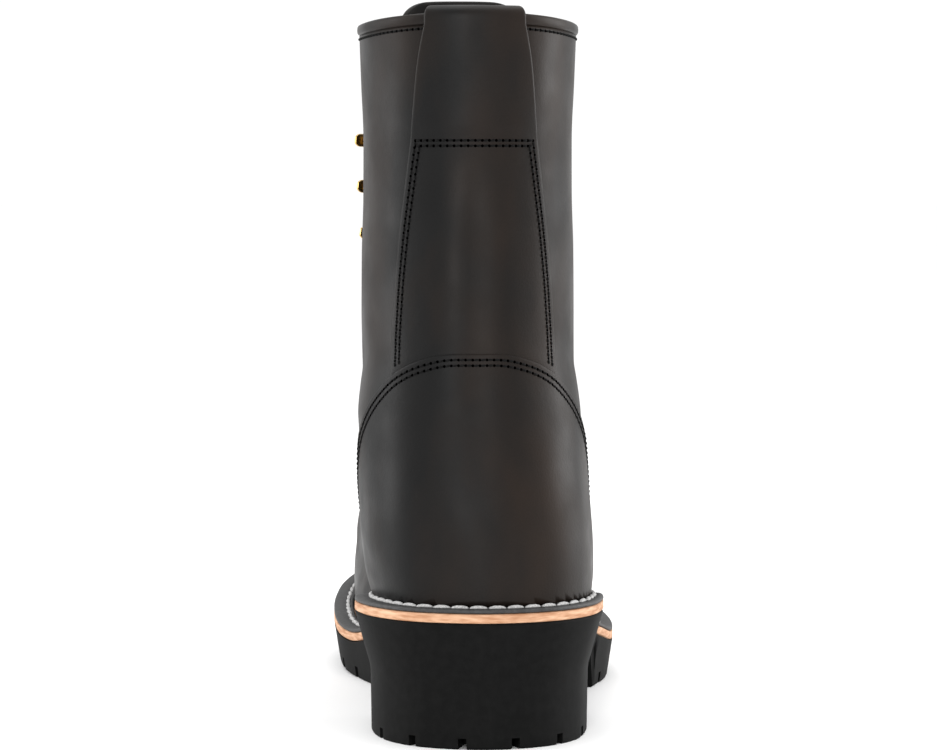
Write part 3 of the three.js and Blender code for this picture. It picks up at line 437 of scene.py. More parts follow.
def piece(name, shapes, materials, nodes=(), tidy=True, sharp=None):
    """One object from shapes. Tidy joins points that coincide and turns the faces outwards."""
    points, faces, marks, start = [], [], [], 0
    for shape_points, shape_faces, material in shapes:
        points.append(shape_points)
        faces += [[i + start for i in face] for face in shape_faces]
        marks += [material] * len(shape_faces)
        start += len(shape_points)
    mesh = bpy.data.meshes.new(name)
    mesh.from_pydata(metres(np.concatenate(points)).tolist(), [], faces)
    mesh.polygons.foreach_set("material_index", marks)
    if tidy:
        work = bmesh.new()
        work.from_mesh(mesh)
        bmesh.ops.remove_doubles(work, verts=work.verts, dist=2e-6)
        bmesh.ops.recalc_face_normals(work, faces=work.faces)
        work.to_mesh(mesh)
        work.free()
    mesh.polygons.foreach_set("use_smooth", [True] * len(mesh.polygons))
    if sharp:
        mesh.set_sharp_from_angle(angle=math.radians(sharp))
    mesh.update()
    for material in materials:
        mesh.materials.append(material)
    obj = bpy.data.objects.new(name, mesh)
    bpy.context.scene.collection.objects.link(obj)
    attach(obj, "root")
    if nodes:
        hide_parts(*nodes)
    return obj


# Materials
def shader(name, colour, roughness, metallic=0.0, **sockets):
    material = bpy.data.materials.new(name)
    material.use_nodes = True
    bsdf = material.node_tree.nodes["Principled BSDF"]
    bsdf.inputs["Base Color"].default_value = (*colour, 1)
    bsdf.inputs["Roughness"].default_value = roughness
    bsdf.inputs["Metallic"].default_value = metallic
    for socket, value in sockets.items():
        bsdf.inputs[socket.replace("_", " ")].default_value = value
    return material, bsdf


def texture(material, kind, scale, detail=2.0, squash=(1, 1, 1)):
    """A procedural texture on the object's own coordinates, in metres."""
    nodes, links = material.node_tree.nodes, material.node_tree.links
    place = nodes.new("ShaderNodeTexCoord")
    mapping = nodes.new("ShaderNodeMapping")
    mapping.inputs["Scale"].default_value = squash
    made = nodes.new(kind)
    made.inputs["Scale"].default_value = scale
    if "Detail" in made.inputs:
        made.inputs["Detail"].default_value = detail
    links.new(place.outputs["Object"], mapping.inputs["Vector"])
    links.new(mapping.outputs["Vector"], made.inputs["Vector"])
    return made.outputs["Distance"] if kind == "ShaderNodeTexVoronoi" else made.outputs[0]


def tint(material, bsdf, value, low, high, dark, light):
    """Base colour between two colours as the value goes from low to high."""
    nodes, links = material.node_tree.nodes, material.node_tree.links
    ramp = nodes.new("ShaderNodeValToRGB")
    ramp.color_ramp.elements[0].position = low
    ramp.color_ramp.elements[0].color = (*dark, 1)
    ramp.color_ramp.elements[1].position = high
    ramp.color_ramp.elements[1].color = (*light, 1)
    links.new(value, ramp.inputs["Fac"])
    links.new(ramp.outputs["Color"], bsdf.inputs["Base Color"])


def vary(material, bsdf, value, socket, low, high):
    nodes, links = material.node_tree.nodes, material.node_tree.links
    span = nodes.new("ShaderNodeMapRange")
    span.inputs["From Min"].default_value = 0.35
    span.inputs["From Max"].default_value = 0.65
    span.inputs["To Min"].default_value = low
    span.inputs["To Max"].default_value = high
    links.new(value, span.inputs["Value"])
    links.new(span.outputs["Result"], bsdf.inputs[socket])


def bump(material, bsdf, heights):
    """Stacks bumps, each a value, its depth in metres and its strength."""
    nodes, links = material.node_tree.nodes, material.node_tree.links
    last = None
    for value, depth, strength in heights:
        node = nodes.new("ShaderNodeBump")
        node.inputs["Distance"].default_value = depth
        node.inputs["Strength"].default_value = strength
        links.new(value, node.inputs["Height"])
        if last:
            links.new(last, node.inputs["Normal"])
        last = node.outputs["Normal"]
    links.new(last, bsdf.inputs["Normal"])


def oiled_leather(name, dark, brown):
    material, bsdf = shader(name, dark, 0.45, Specular_IOR_Level=0.13, Coat_Weight=0.03, Coat_Roughness=0.4)
    cloudy = texture(material, "ShaderNodeTexNoise", 26, 3, (1, 1, 0.45))
    tint(material, bsdf, cloudy, 0.42, 0.72, dark, brown)
    vary(material, bsdf, texture(material, "ShaderNodeTexNoise", 45, 3), "Roughness", 0.4, 0.54)
    bump(material, bsdf, [
        (texture(material, "ShaderNodeTexVoronoi", 1100), 0.00006, 0.35),
        (texture(material, "ShaderNodeTexNoise", 420, 4), 0.0001, 0.3),
        (texture(material, "ShaderNodeTexNoise", 60, 2), 0.0005, 0.25),
    ])
    return material


def plain(name, colour, light, roughness, scale, depth, metallic=0.0, squash=(1, 1, 1), **sockets):
    """A plain material with a fine grain and a slight change of colour."""
    material, bsdf = shader(name, colour, roughness, metallic, **sockets)
    grain = texture(material, "ShaderNodeTexNoise", scale, 4, squash)
    tint(material, bsdf, grain, 0.35, 0.7, colour, light)
    bump(material, bsdf, [(grain, depth, 0.5)])
    return material


BLACK_LEATHER = oiled_leather("black oiled leather", (0.0042, 0.0041, 0.0041), (0.016, 0.0098, 0.0066))
WELT_LEATHER = plain("black welt leather", (0.016, 0.0155, 0.0155), (0.04, 0.039, 0.039), 0.6, 700, 0.00015)
EDGE_LEATHER = plain("tan leather edge", (0.42, 0.2, 0.1), (0.7, 0.43, 0.27), 0.8, 150, 0.0003,
                     squash=(1, 1, 6))
RAW_EDGE = plain("cut leather edge", (0.014, 0.012, 0.011), (0.03, 0.026, 0.023), 0.8, 900, 0.0001)
LINING = plain("lining leather", (0.03, 0.026, 0.022), (0.05, 0.043, 0.036), 0.75, 600, 0.0001)
FOOTBED = plain("footbed fabric", (0.035, 0.028, 0.021), (0.06, 0.049, 0.038), 0.9, 1500, 0.0002)
RUBBER = plain("black rubber", (0.0036, 0.0037, 0.0036), (0.0055, 0.0056, 0.0055), 0.7, 320, 0.00012,
               Specular_IOR_Level=0.08)
THREAD = plain("black thread", (0.002, 0.002, 0.002), (0.005, 0.005, 0.005), 0.75, 4000, 0.0001,
               Specular_IOR_Level=0.12)
# Painted shade: flat black discs stand in for the shade inside the needle holes, which are not cut.
PAINTED_HOLE_SHADE = plain("painted needle hole shade", (0.0, 0.0, 0.0), (0.0003, 0.0003, 0.0003), 1.0, 3000, 0.00001,
             Specular_IOR_Level=0.0)
WELT_THREAD = plain("grey waxed thread", (0.3, 0.3, 0.3), (0.62, 0.61, 0.6), 0.7, 2200, 0.0003)
CORD = plain("black woven cord", (0.006, 0.006, 0.006), (0.015, 0.015, 0.015), 0.85, 1800, 0.0004,
             Specular_IOR_Level=0.2)
BRASS = plain("brass", (0.55, 0.35, 0.11), (0.66, 0.45, 0.17), 0.3, 500, 0.00002, metallic=1.0)


# Places on the upper
COLUMN_V = np.arange(0, LAST + 1e-9, 0.1)
COLLAR_STEP = 20.0


def v_at(along, z):
    """The ring through height z at a distance round from the back; past the collar it goes straight up."""
    along, z = np.broadcast_arrays(np.asarray(along, float), np.asarray(z, float))
    flat_along, flat_z = along.ravel(), z.ravel()
    places, which = np.unique(np.round(flat_along, 3), return_inverse=True)
    heights = on_ring_flat(COLUMN_V[:, None], places[None, :])[..., 2]
    out = np.empty(len(flat_z))
    for k in range(len(places)):
        rows = which == k
        column = heights[:, k]
        inside = np.interp(flat_z[rows], column, COLUMN_V)
        out[rows] = np.where(flat_z[rows] > column[-1], LAST + (flat_z[rows] - column[-1]) / COLLAR_STEP, inside)
    return out.reshape(along.shape)


# Creases: from and to as a share of the way round from the back, outer side +, and a height, with
# half its width and its depth, minus for a trough.
CREASES = [
    (0.0, 62, 0.0, 208, 3.2, -0.6),
    (-0.062, 66, -0.055, 205, 5.0, 0.4),
    (0.062, 66, 0.055, 205, 5.0, 0.4),
    (0.44, 132, 0.7, 117, 5.0, -0.75),
    (-0.44, 131, -0.7, 117, 5.0, -0.7),
    (0.5, 147, 0.82, 139, 5.0, -0.6),
    (-0.5, 147, -0.82, 138, 5.0, -0.6),
    (0.56, 166, 0.86, 163, 6.0, -0.4),
    (-0.56, 167, -0.86, 162, 6.0, -0.4),
    (0.7, 52, 1.0, 82, 6.0, -0.5),
    (-0.7, 50, -1.0, 80, 6.0, -0.5),
    (0.8, 44, 1.0, 66, 5.0, -0.45),
    (-0.8, 43, -1.0, 64, 5.0, -0.45),
]
HALF_ROUND = 150.0


def relief(v, along):
    """How far the creases move the leather out, in millimetres."""
    points = on_ring_flat(np.minimum(v, LAST), along)
    share = along / (ring_round(np.minimum(v, LAST)) / 2)
    across, z = share * HALF_ROUND, points[..., 2]
    out = np.zeros(across.shape)
    for share_a, z_a, share_b, z_b, width, depth in CREASES:
        start = np.array([share_a * HALF_ROUND, z_a])
        run = np.array([share_b * HALF_ROUND, z_b]) - start
        t = ((across - start[0]) * run[0] + (z - start[1]) * run[1]) / (run @ run)
        near = np.clip(t, 0, 1)
        gap = np.hypot(across - start[0] - near * run[0], z - start[1] - near * run[1])
        fade = np.minimum(1, ease(t, -0.05, 0.3) * ease(1 - t, -0.05, 0.3) * 1.4)
        out += depth * fade * np.exp(-(gap / width) ** 2)
    return out


def leather(v, along, lift):
    """Points on the creased leather, lifted off it."""
    v, along, lift = np.broadcast_arrays(v, along, lift)
    return on_upper(v, along, lift + relief(v, along))


def round_edge(distance, radius):
    """0 at an edge to 1 at a radius from it, as a quarter circle."""
    return np.sqrt(1 - (1 - np.clip(distance / radius, 0, 1)) ** 2)


# The throat
THROAT_GAP, THROAT_FOOT_GAP, THROAT_FOOT_RISE, THROAT_ROUNDING = 48.0, 18.0, 66.0, 12.0
FRONT_LINE = np.concatenate([[0], np.cumsum(np.linalg.norm(np.diff(GRID[:, COUNT // 2], axis=0), axis=1))])
THROAT_FOOT_V = float(v_at_front(float(welt_top(0.68 * L)) + THROAT_FOOT_RISE))
THROAT_FOOT_AT = float(np.interp(THROAT_FOOT_V, GRID_V, FRONT_LINE))
THROAT_LENGTH = FRONT_LINE[-1] - THROAT_FOOT_AT


def up_throat(distance):
    """The ring at a distance up the front from the throat's foot."""
    distance = np.asarray(distance, float)
    inside = np.interp(distance + THROAT_FOOT_AT, FRONT_LINE, GRID_V)
    return np.where(distance > THROAT_LENGTH, LAST + (distance - THROAT_LENGTH) / COLLAR_STEP, inside)


def half_gap(v):
    up = np.maximum(0, np.interp(v, GRID_V, FRONT_LINE) - THROAT_FOOT_AT)
    half = lerp(THROAT_FOOT_GAP, THROAT_GAP, ease(up, 0, THROAT_LENGTH)) / 2
    return half * round_edge(up, THROAT_ROUNDING)


def front_arc(v):
    return np.interp(v, GRID_V, FRONT_ARC)


# Upper: an outer and an inner face, joined round the throat, the collar and the foot.
def upper():
    below = np.linspace(0, THROAT_FOOT_V, 56)[:-1]
    near = np.array([0, 0.12, 0.5, 1.1, 2, 3.2, 4.6, 6.4, 8.6, 11.2])
    rows = np.concatenate([below, up_throat(np.concatenate([near, np.linspace(13.5, THROAT_LENGTH, 82)]))])
    gap = half_gap(rows)
    gap[:len(below) + 1] = 0
    lip = np.minimum(1.0, gap)
    columns = np.linspace(0, 1, 211)
    first = front_arc(rows) - gap - lip
    last = -(ring_round(rows) - front_arc(rows) - gap - lip)
    along = first[:, None] + (last - first)[:, None] * columns
    v = np.repeat(rows[:, None], len(columns), 1)
    outer, inner = leather(v, along, 0.0), leather(v, along, -WALL)
    shapes = [(outer.reshape(-1, 3), grid_faces(*outer.shape[:2]).tolist(), 0),
              (inner.reshape(-1, 3), grid_faces(*inner.shape[:2]).tolist(), 1)]
    for row in (0, -1):
        pair = np.stack([outer[row], inner[row]])
        shapes.append((pair.reshape(-1, 3), grid_faces(2, len(columns)).tolist(), 2))
    turn = np.linspace(0, np.pi, 7)
    open_rows = slice(len(below), None)
    for edge, sign in ((first, 1), (last, -1)):
        from_edge = lip[open_rows, None] * np.sin(turn)
        edge_along = edge[open_rows, None] + sign * from_edge
        edge_v = np.repeat(rows[open_rows, None], len(turn), 1)
        face = leather(edge_v, edge_along, -WALL / 2 + WALL / 2 * np.cos(turn))
        shapes.append((face.reshape(-1, 3), grid_faces(*face.shape[:2]).tolist(), 2))
        shapes.append((face[-1], [list(range(len(turn)))], 2))
    piece("upper_leather", shapes, [BLACK_LEATHER, LINING, RAW_EDGE], ["upper"])


# Counter: its top edge seen from the side, as shares of its reach and of its rise above the welt.
COUNTER_RISE, COUNTER_REACH, COUNTER_THICKNESS, COUNTER_CLEAR = 88.4, 84.0, 1.4, 0.65
counter_edge = curve_through([
    (-0.3, 1.0), (0.19, 1.0), (0.238, 0.976), (0.321, 0.917), (0.399, 0.834), (0.476, 0.747), (0.571, 0.64),
    (0.679, 0.517), (0.786, 0.378), (0.893, 0.22), (1.0, 0.07), (1.05, 0.02)])


def counter_outline():
    """For each distance round from the back, the rings where the counter starts and ends."""
    along = np.linspace(-150, 150, 301)
    steps = np.arange(0, 10, 0.05)
    points = on_ring_flat(steps[:, None], along[None, :])
    y, z = points[..., 1], points[..., 2]
    foot = welt_top(np.maximum(0, y)) + COUNTER_CLEAR
    top = foot + counter_edge(y / COUNTER_REACH) * (COUNTER_RISE - COUNTER_CLEAR)

    def crossing(over):
        index = np.clip((over < 0).argmin(0), 1, None)
        column = np.arange(len(along))
        a, b = over[index - 1, column], over[index, column]
        return lerp(steps[index - 1], steps[index], np.clip(a / (a - b), 0, 1))
    start, end = crossing(z - foot), crossing(z - top)
    y_start = on_ring_flat(start, along)[..., 1]
    keep = y_start < COUNTER_REACH
    return along[keep], start[keep], end[keep]


COUNTER_ALONG, COUNTER_START, COUNTER_END = counter_outline()
COUNTER_TOP_Z = on_ring_flat(COUNTER_END, COUNTER_ALONG)[..., 2]


def counter_top(along):
    return np.interp(along, COUNTER_ALONG, COUNTER_TOP_Z)


def counter():
    along = np.linspace(COUNTER_ALONG[0], COUNTER_ALONG[-1], 161)
    start = np.interp(along, COUNTER_ALONG, COUNTER_START)
    end = np.interp(along, COUNTER_ALONG, COUNTER_END)
    height = counter_top(along) - on_ring_flat(start, along)[..., 2]
    from_top = np.concatenate([[0, 0.12, 0.35, 0.7, 1.1, 1.7], np.linspace(3, 200, 70)])
    share = 1 - np.minimum(1, from_top[:, None] / height[None, :])
    share = share[np.r_[0:len(from_top)]]
    v = start + (end - start) * share
    spread = np.broadcast_to(along, v.shape)
    distance = (1 - share) * height
    side = np.minimum(along - along[0], along[-1] - along)
    full = round_edge(np.minimum(distance, side[None, :]), 1.0)
    low = np.full(v.shape, 0.1)
    keep = slice(0, int((from_top < height.max() * 1.02).sum()) + 1)
    high = leather(v, spread, low + 0.2 + COUNTER_THICKNESS * (0.15 + 0.85 * full))
    piece("counter_leather", [slab(high[keep], leather(v, spread, low)[keep])], [BLACK_LEATHER],
          ["counter"])


# Panel up the back and pull strap, one strip: height and half width.
strip_half = curve_through([(100, 33), (139, 33), (157, 31.85), (178, 29.4), (198.5, 26.3), (214.7, 23.75),
                            (226, 22.4), (240, 20.3), (COLLAR_Z, 17.5)])
STRAP_FROM, PANEL_LIFT, PANEL_THICKNESS, STRAP_THICKNESS = 214.0, 0.15, 1.15, 1.6
OVER_BINDING, STRAP_INSIDE = 1.4, 30.0
BINDING_HEIGHT, BINDING_PROUD, BINDING_CLEAR = 4.2, 0.8, 0.3


def strip_faces(u, z):
    """The strip's near lift and its thickness at a height up the outside."""
    bow = ease(z, STRAP_FROM + 4, COLLAR_Z - 3)
    near = lerp(PANEL_LIFT, OVER_BINDING, bow)
    return near, lerp(PANEL_THICKNESS, STRAP_THICKNESS, ease(z, STRAP_FROM - 1, STRAP_FROM + 5))


def backstay():
    u = np.sin(np.linspace(-np.pi / 2, np.pi / 2, 45))
    rise = np.linspace(0, 1, 110)[:, None]
    foot = counter_top(u * 33) - 3.0
    z = lerp(foot[None, :], COLLAR_Z, rise)
    half = strip_half(z)
    along = u * half
    near, thick = strip_faces(u, z)
    thick = lerp(0.12, thick, round_edge(z - foot, 4.5))
    side = round_edge((1 - np.abs(u)) * half, 1.0)
    v = v_at(along, z)
    lows = [leather(v, along, near)]
    highs = [leather(v, along, near + thick * (0.3 + 0.7 * side))]
    across = u * 17.5
    flat_side = round_edge((1 - np.abs(u)) * 17.5, 1.0)
    radius = WALL / 2 + OVER_BINDING
    turn_z = COLLAR_Z + 2 * SEAT + BINDING_HEIGHT - radius

    def strap_row(lift_near, z_near, lift_far, z_far):
        for z_here, lift, store in ((z_near, lift_near, lows), (z_far, lift_far, highs)):
            here = np.full(u.shape, z_here) if np.isscalar(z_here) else z_here
            store.append(on_upper(v_at(across, here), across, lift)[None])
    for angle in np.linspace(0, np.pi, 22):
        outer = radius + STRAP_THICKNESS * (0.3 + 0.7 * flat_side)
        strap_row(np.full(u.shape, math.cos(angle) * radius - WALL / 2), turn_z + math.sin(angle) * radius,
                  math.cos(angle) * outer - WALL / 2, turn_z + math.sin(angle) * outer)
    for down in np.linspace(0.08, 1, 14):
        inner = -WALL - OVER_BINDING
        strap_row(np.full(u.shape, inner), COLLAR_Z - STRAP_INSIDE * down,
                  inner - STRAP_THICKNESS * (0.3 + 0.7 * flat_side), COLLAR_Z - STRAP_INSIDE * down)
    piece("backstay_leather", [slab(np.concatenate(highs), np.concatenate(lows))], [BLACK_LEATHER],
          ["backstay"])


# Binding: a bead that rolls over the collar's edge from one side of the throat to the other.
def binding():
    gap = float(half_gap(LAST))
    first, last = float(FRONT_ARC[-1]) - gap, -(float(ROUND[-1]) - float(FRONT_ARC[-1]) - gap)
    along = np.linspace(first - 0.4, last + 0.4, 240)
    turn = np.linspace(0, 2 * np.pi, 16, endpoint=False)
    power = 0.72
    wave = lambda w: np.sign(w) * np.abs(w) ** power
    lift = -WALL / 2 + (WALL / 2 + BINDING_PROUD) * wave(np.cos(turn))
    rise = BINDING_CLEAR - 0.4 + BINDING_HEIGHT / 2 + BINDING_HEIGHT / 2 * wave(np.sin(turn))
    ends = round_edge(np.minimum(along - last, first - along) - 0.4, 1.8)
    shrink = 0.35 + 0.65 * ends[:, None]
    lift = -WALL / 2 + (lift[None, :] + WALL / 2) * shrink
    rise = BINDING_HEIGHT / 2 + (rise[None, :] - BINDING_HEIGHT / 2) * shrink
    v = LAST + rise / COLLAR_STEP
    rings = on_upper(v, np.broadcast_to(along[:, None], v.shape), lift)
    piece("collar_bead", [tube(rings)], [BLACK_LEATHER], ["collar_binding"])


# Tongue
TONGUE_WIDTH, TONGUE_THICKNESS, TONGUE_ABOVE, TONGUE_UNDER, TONGUE_FIT = 60, 3, 8.5, 16, 2.2
TONGUE_CORNER_WIDTH, TONGUE_CORNER_HEIGHT = 16, 7


def tongue():
    top = THROAT_LENGTH + TONGUE_ABOVE
    corner = TONGUE_CORNER_HEIGHT
    ups = np.concatenate([np.linspace(-TONGUE_UNDER, top - corner, 84)[:-1],
                          top - corner * (1 - np.sin(np.linspace(0, np.pi / 2, 16)))])
    short = 1 - np.clip((top - ups) / corner, 0, 1)
    half = TONGUE_WIDTH / 2 - TONGUE_CORNER_WIDTH * (1 - np.sqrt(1 - short ** 2))
    u = np.sin(np.linspace(-np.pi / 2, np.pi / 2, 41))
    along = u[None, :] * half[:, None]
    v = np.repeat(up_throat(ups)[:, None], len(u), 1)
    edge = np.minimum((1 - np.abs(u))[None, :] * half[:, None], (top - ups)[:, None])
    full = round_edge(edge, 1.5)
    middle = -WALL - TONGUE_FIT - TONGUE_THICKNESS / 2
    high = on_upper(v, along, middle + TONGUE_THICKNESS / 2 * (0.2 + 0.8 * full), front=True)
    low = on_upper(v, along, middle - TONGUE_THICKNESS / 2 * (0.2 + 0.8 * full), front=True)
    piece("tongue_leather", [slab(high, low)], [BLACK_LEATHER], ["tongue"])


# Sole
def ring_at(ys, inset_of, height_of):
    """A sole ring over given stations, with its heights."""
    between = ys[1:-1]

    def line(side):
        x, normal = edge_at(side, between)
        inset = inset_of(between, side)
        return np.stack([x - normal[:, 0] * inset, between - normal[:, 1] * inset], 1)
    heel = [[edge_at(1, ys[0])[0], ys[0] + float(inset_of(ys[0]))]]
    toe = [[edge_at(1, ys[-1])[0], ys[-1] - float(inset_of(ys[-1]))]]
    flat = np.concatenate([heel, line(1), toe, line(-1)[::-1]])
    return np.concatenate([flat, height_of(flat[:, 1])[:, None]], 1)


FINE = stations(130)


def steady(value):
    return lambda y, side=1: value + 0 * np.asarray(y, float)


def outsole_foot(y):
    waist = outsole_top(y) - SOLE["waist_thickness"]
    slope = (y - SOLE["breast_foot"]) / (SOLE["breast_top"] - SOLE["breast_foot"])
    out = np.where(y < SOLE["tread_start"], waist, tread_line(y))
    out = np.where(y < SOLE["breast_top"], waist * slope, out)
    return np.where(y <= SOLE["breast_foot"], 0.0, out)


LUG_DEPTH, GROOVE, EDGE_LUG, LUG_PITCH, HEEL_LUG, CHEVRON_TURN = 4.6, 3.4, 15.0, 19.0, 12.0, 0.35


def box_shape(size, centre, turn=0.0):
    signs = np.array([[x, y, z] for x in (-1, 1) for y in (-1, 1) for z in (-1, 1)], float)
    points = signs * np.array(size) / 2
    c, s = math.cos(turn), math.sin(turn)
    points = points @ np.array([[c, s, 0], [-s, c, 0], [0, 0, 1]]) + np.array(centre)
    faces = [[0, 1, 3, 2], [4, 6, 7, 5], [0, 4, 5, 1], [2, 3, 7, 6], [0, 2, 6, 4], [1, 5, 7, 3]]
    return points, faces, 0


def tread_cutters():
    """Groups of grooves; the grooves of one group don't touch each other."""
    first, last = SOLE["tread_start"] + LUG_PITCH / 2, L - LUG_PITCH
    inside = np.concatenate([[SOLE["tread_start"] + 4], np.arange(SOLE["tread_start"] + 6, last - 2, 2.0), [last]])
    walls = []
    for side in (1, -1):
        x, normal = edge_at(side, inside)
        rings = []
        for inset, rise in ((EDGE_LUG, -9), (EDGE_LUG, LUG_DEPTH), (EDGE_LUG + GROOVE, LUG_DEPTH),
                            (EDGE_LUG + GROOVE, -9)):
            moved = inside - normal[:, 1] * inset
            rings.append(np.stack([x - normal[:, 0] * inset, moved, tread_line(moved) + rise], 1))
        walls.append(tube(np.stack(rings, 1)))
    edges, left, right, heel, sides, across, along = [], [], [], [], [], [], []
    for y in np.arange(first, last, LUG_PITCH):
        for side in (1, -1):
            x, normal = edge_at(side, np.array([y]))
            x, normal = float(x[0]), normal[0]
            length = EDGE_LUG + 1 + 4
            centre = 4 - length / 2
            edges.append(box_shape([length, GROOVE, LUG_DEPTH * 2],
                                   [x + normal[0] * centre, y + normal[1] * centre, float(tread_line(y))],
                                   math.atan2(normal[1], normal[0])))
    for y in np.arange(first + LUG_PITCH / 2, last - LUG_PITCH, LUG_PITCH):
        outer, inner = float(edge_at(1, y)[0]), float(edge_at(-1, y)[0])
        half = (outer - inner) / 2 - EDGE_LUG
        for side, group in ((1, left), (-1, right)):
            group.append(box_shape([half * 1.15, GROOVE, LUG_DEPTH * 2],
                                   [(outer + inner) / 2 + side * half / 2, y, float(tread_line(y))],
                                   side * CHEVRON_TURN))
    middle = SOLE["heel_width"] / 2
    edge = middle - SOLE["heel_taper"]
    for angle in (14.5, 43.5, 72.5):
        for side in (1, -1):
            turn = math.radians(side * angle - 90)
            heel.append(box_shape([HEEL_LUG * 2, GROOVE * 0.9, LUG_DEPTH * 1.7],
                                  [math.cos(turn) * edge, middle + math.sin(turn) * edge, 0], turn))
    for side in (1, -1):
        sides.append(box_shape([HEEL_LUG * 2, GROOVE, LUG_DEPTH * 1.7], [side * edge, middle + LUG_PITCH, 0]))
    across.append(box_shape([GROOVE, middle * 0.8, LUG_DEPTH * 1.5], [0, middle + 6, 0]))
    along.append(box_shape([middle, GROOVE, LUG_DEPTH * 1.5], [0, middle, 0]))
    return [walls, edges, left, right, heel, sides, across, along]


def outsole():
    marks = [SOLE["breast_foot"], SOLE["breast_top"], SOLE["tread_start"] - 0.6, SOLE["tread_start"]]
    ys = np.sort(np.concatenate([[y for y in FINE if min(abs(y - m) for m in marks) > 0.8], marks]))
    levels = [(0, 1.09, 1.3), (0.018, 1.02, 1.0), (0.3, 0.99, 0.7), (0.5, 0.97, 0.5), (0.56, 0.92, 0.44),
              (0.62, 0.79, 0.38), (0.8, 0.42, 0.2), (0.94, 0.14, 0.06), (0.985, 0.04, 0.02), (1, 0.09, 0.2)]

    def ring(share, heel, fore):
        def inset(y, side=1):
            is_heel = 1 - ease(y, SOLE["breast_foot"], SOLE["breast_top"] + 8)
            return lerp(fore * SOLE["draft"], heel * SOLE["heel_taper"], is_heel)
        return ring_at(ys, inset, lambda y: lerp(outsole_foot(y), outsole_top(y), share))
    obj = piece("outsole_rubber", [sole_solid(np.stack([ring(*level) for level in levels]))], [RUBBER],
                ["outsole"])
    cutters = []
    for number, shapes in enumerate(tread_cutters()):
        mesh = bpy.data.meshes.new(f"cut_{number}")
        points, faces, start = [], [], 0
        for shape_points, shape_faces, _ in shapes:
            points.append(shape_points)
            faces += [[i + start for i in face] for face in shape_faces]
            start += len(shape_points)
        mesh.from_pydata(metres(np.concatenate(points)).tolist(), [], faces)
        work = bmesh.new()
        work.from_mesh(mesh)
        bmesh.ops.recalc_face_normals(work, faces=work.faces)
        work.to_mesh(mesh)
        work.free()
        cutter = bpy.data.objects.new(f"cut_{number}", mesh)
        bpy.context.scene.collection.objects.link(cutter)
        cut = obj.modifiers.new(f"cut_{number}", "BOOLEAN")
        cut.operation = "DIFFERENCE"
        cut.solver = "EXACT"
        cut.object = cutter
        cutters.append(cutter)
    bpy.context.view_layer.update()
    carved = bpy.data.meshes.new_from_object(obj.evaluated_get(bpy.context.evaluated_depsgraph_get()))
    obj.modifiers.clear()
    obj.data = carved
    carved.name = "outsole_rubber"
    for cutter in cutters:
        bpy.data.objects.remove(cutter)
    carved.polygons.foreach_set("use_smooth", [True] * len(carved.polygons))
    carved.set_sharp_from_angle(angle=math.radians(24))


def midsole():
    levels = [(0.4, 0), (0.1, 0.25), (0, 0.6), (0, MIDSOLE_T - 0.6), (0.1, MIDSOLE_T - 0.25), (0.4, MIDSOLE_T)]
    rings = [ring_at(FINE, steady(inset), lambda y, rise=rise: midsole_foot(y) + rise) for inset, rise in levels]
    piece("midsole_leather", [sole_solid(np.stack(rings))], [EDGE_LEATHER], ["midsole"])


def welt():
    def ring(inset, height):
        return ring_at(FINE, inset, height)
    inner = lambda y, side=1: welt_inset(y, side) - 0.4
    rings = [
        ring(steady(0.25), welt_foot),
        ring(steady(0.0), lambda y: welt_foot(y) + 0.3),
        ring(steady(0.0), lambda y: welt_top(y) - 0.6),
        ring(steady(0.2), lambda y: welt_top(y) - 0.2),
        ring(steady(0.7), welt_top),
        ring(lambda y, side=1: welt_inset(y, side) * 0.5, lambda y: welt_top(y) + 0.1),
        ring(lambda y, side=1: welt_inset(y, side) - 3.4, lambda y: welt_top(y) - 0.12),
        ring(lambda y, side=1: welt_inset(y, side) - 2.4, lambda y: welt_top(y) - 0.12),
        ring(lambda y, side=1: welt_inset(y, side) - 1.4, lambda y: welt_top(y) + WELT_CROWN),
        ring(inner, lambda y: welt_top(y) + WELT_CROWN),
        ring(welt_inset, welt_foot),
    ]
    piece("welt_leather", [hoop(np.stack(rings))], [WELT_LEATHER], ["welt"])


def insole():
    inset = lambda y, side=1: welt_inset(y, side) + SEAT + WALL + 2
    foot = lambda y: midsole_top(y) + 1.6 * SEAT
    levels = [(0.3, 0), (0, 0.4), (0, 3.5), (0.4, 4.0), (3, 3.7), (9, 3.4)]
    rings = [ring_at(FINE, lambda y, side=1, more=more: inset(y, side) + more, lambda y, rise=rise: foot(y) + rise)
             for more, rise in levels]
    piece("footbed", [sole_solid(np.stack(rings))], [FOOTBED], ["insole"])


# Stitches: a row of short threads along a path of points with normals.
def thread_shape(length, radius, dip, sides=7):
    """A thread along x that lies on z 0 and goes down at its ends."""
    rings = []
    for at, thick, down in ((-1, 0.4, 1.0), (-0.8, 0.8, 0.45), (-0.35, 1, 0.0), (0.35, 1, 0.0), (0.8, 0.8, 0.45),
                            (1, 0.4, 1.0)):
        turn = np.linspace(0, 2 * np.pi, sides, endpoint=False)
        rings.append(np.stack([np.full(sides, at * length / 2), np.cos(turn) * radius * thick,
                               np.sin(turn) * radius * thick - down * dip], 1))
    return tube(np.stack(rings))


def along_path(points, normals, pitch, offset=0.5):
    """Even places along a path, as points, directions and normals."""
    run = np.concatenate([[0], np.cumsum(np.linalg.norm(np.diff(points, axis=0), axis=1))])
    count = max(1, int(round(run[-1] / pitch)))
    at = (np.arange(count) + offset) * run[-1] / count
    mid = np.stack([np.interp(at, run, points[:, k]) for k in range(3)], 1)
    ahead = np.stack([np.interp(at + 0.3, run, points[:, k]) for k in range(3)], 1)
    behind = np.stack([np.interp(at - 0.3, run, points[:, k]) for k in range(3)], 1)
    out = np.stack([np.interp(at, run, normals[:, k]) for k in range(3)], 1)
    direction = ahead - behind
    direction /= np.linalg.norm(direction, axis=1, keepdims=True)
    out /= np.linalg.norm(out, axis=1, keepdims=True)
    return mid, direction, out


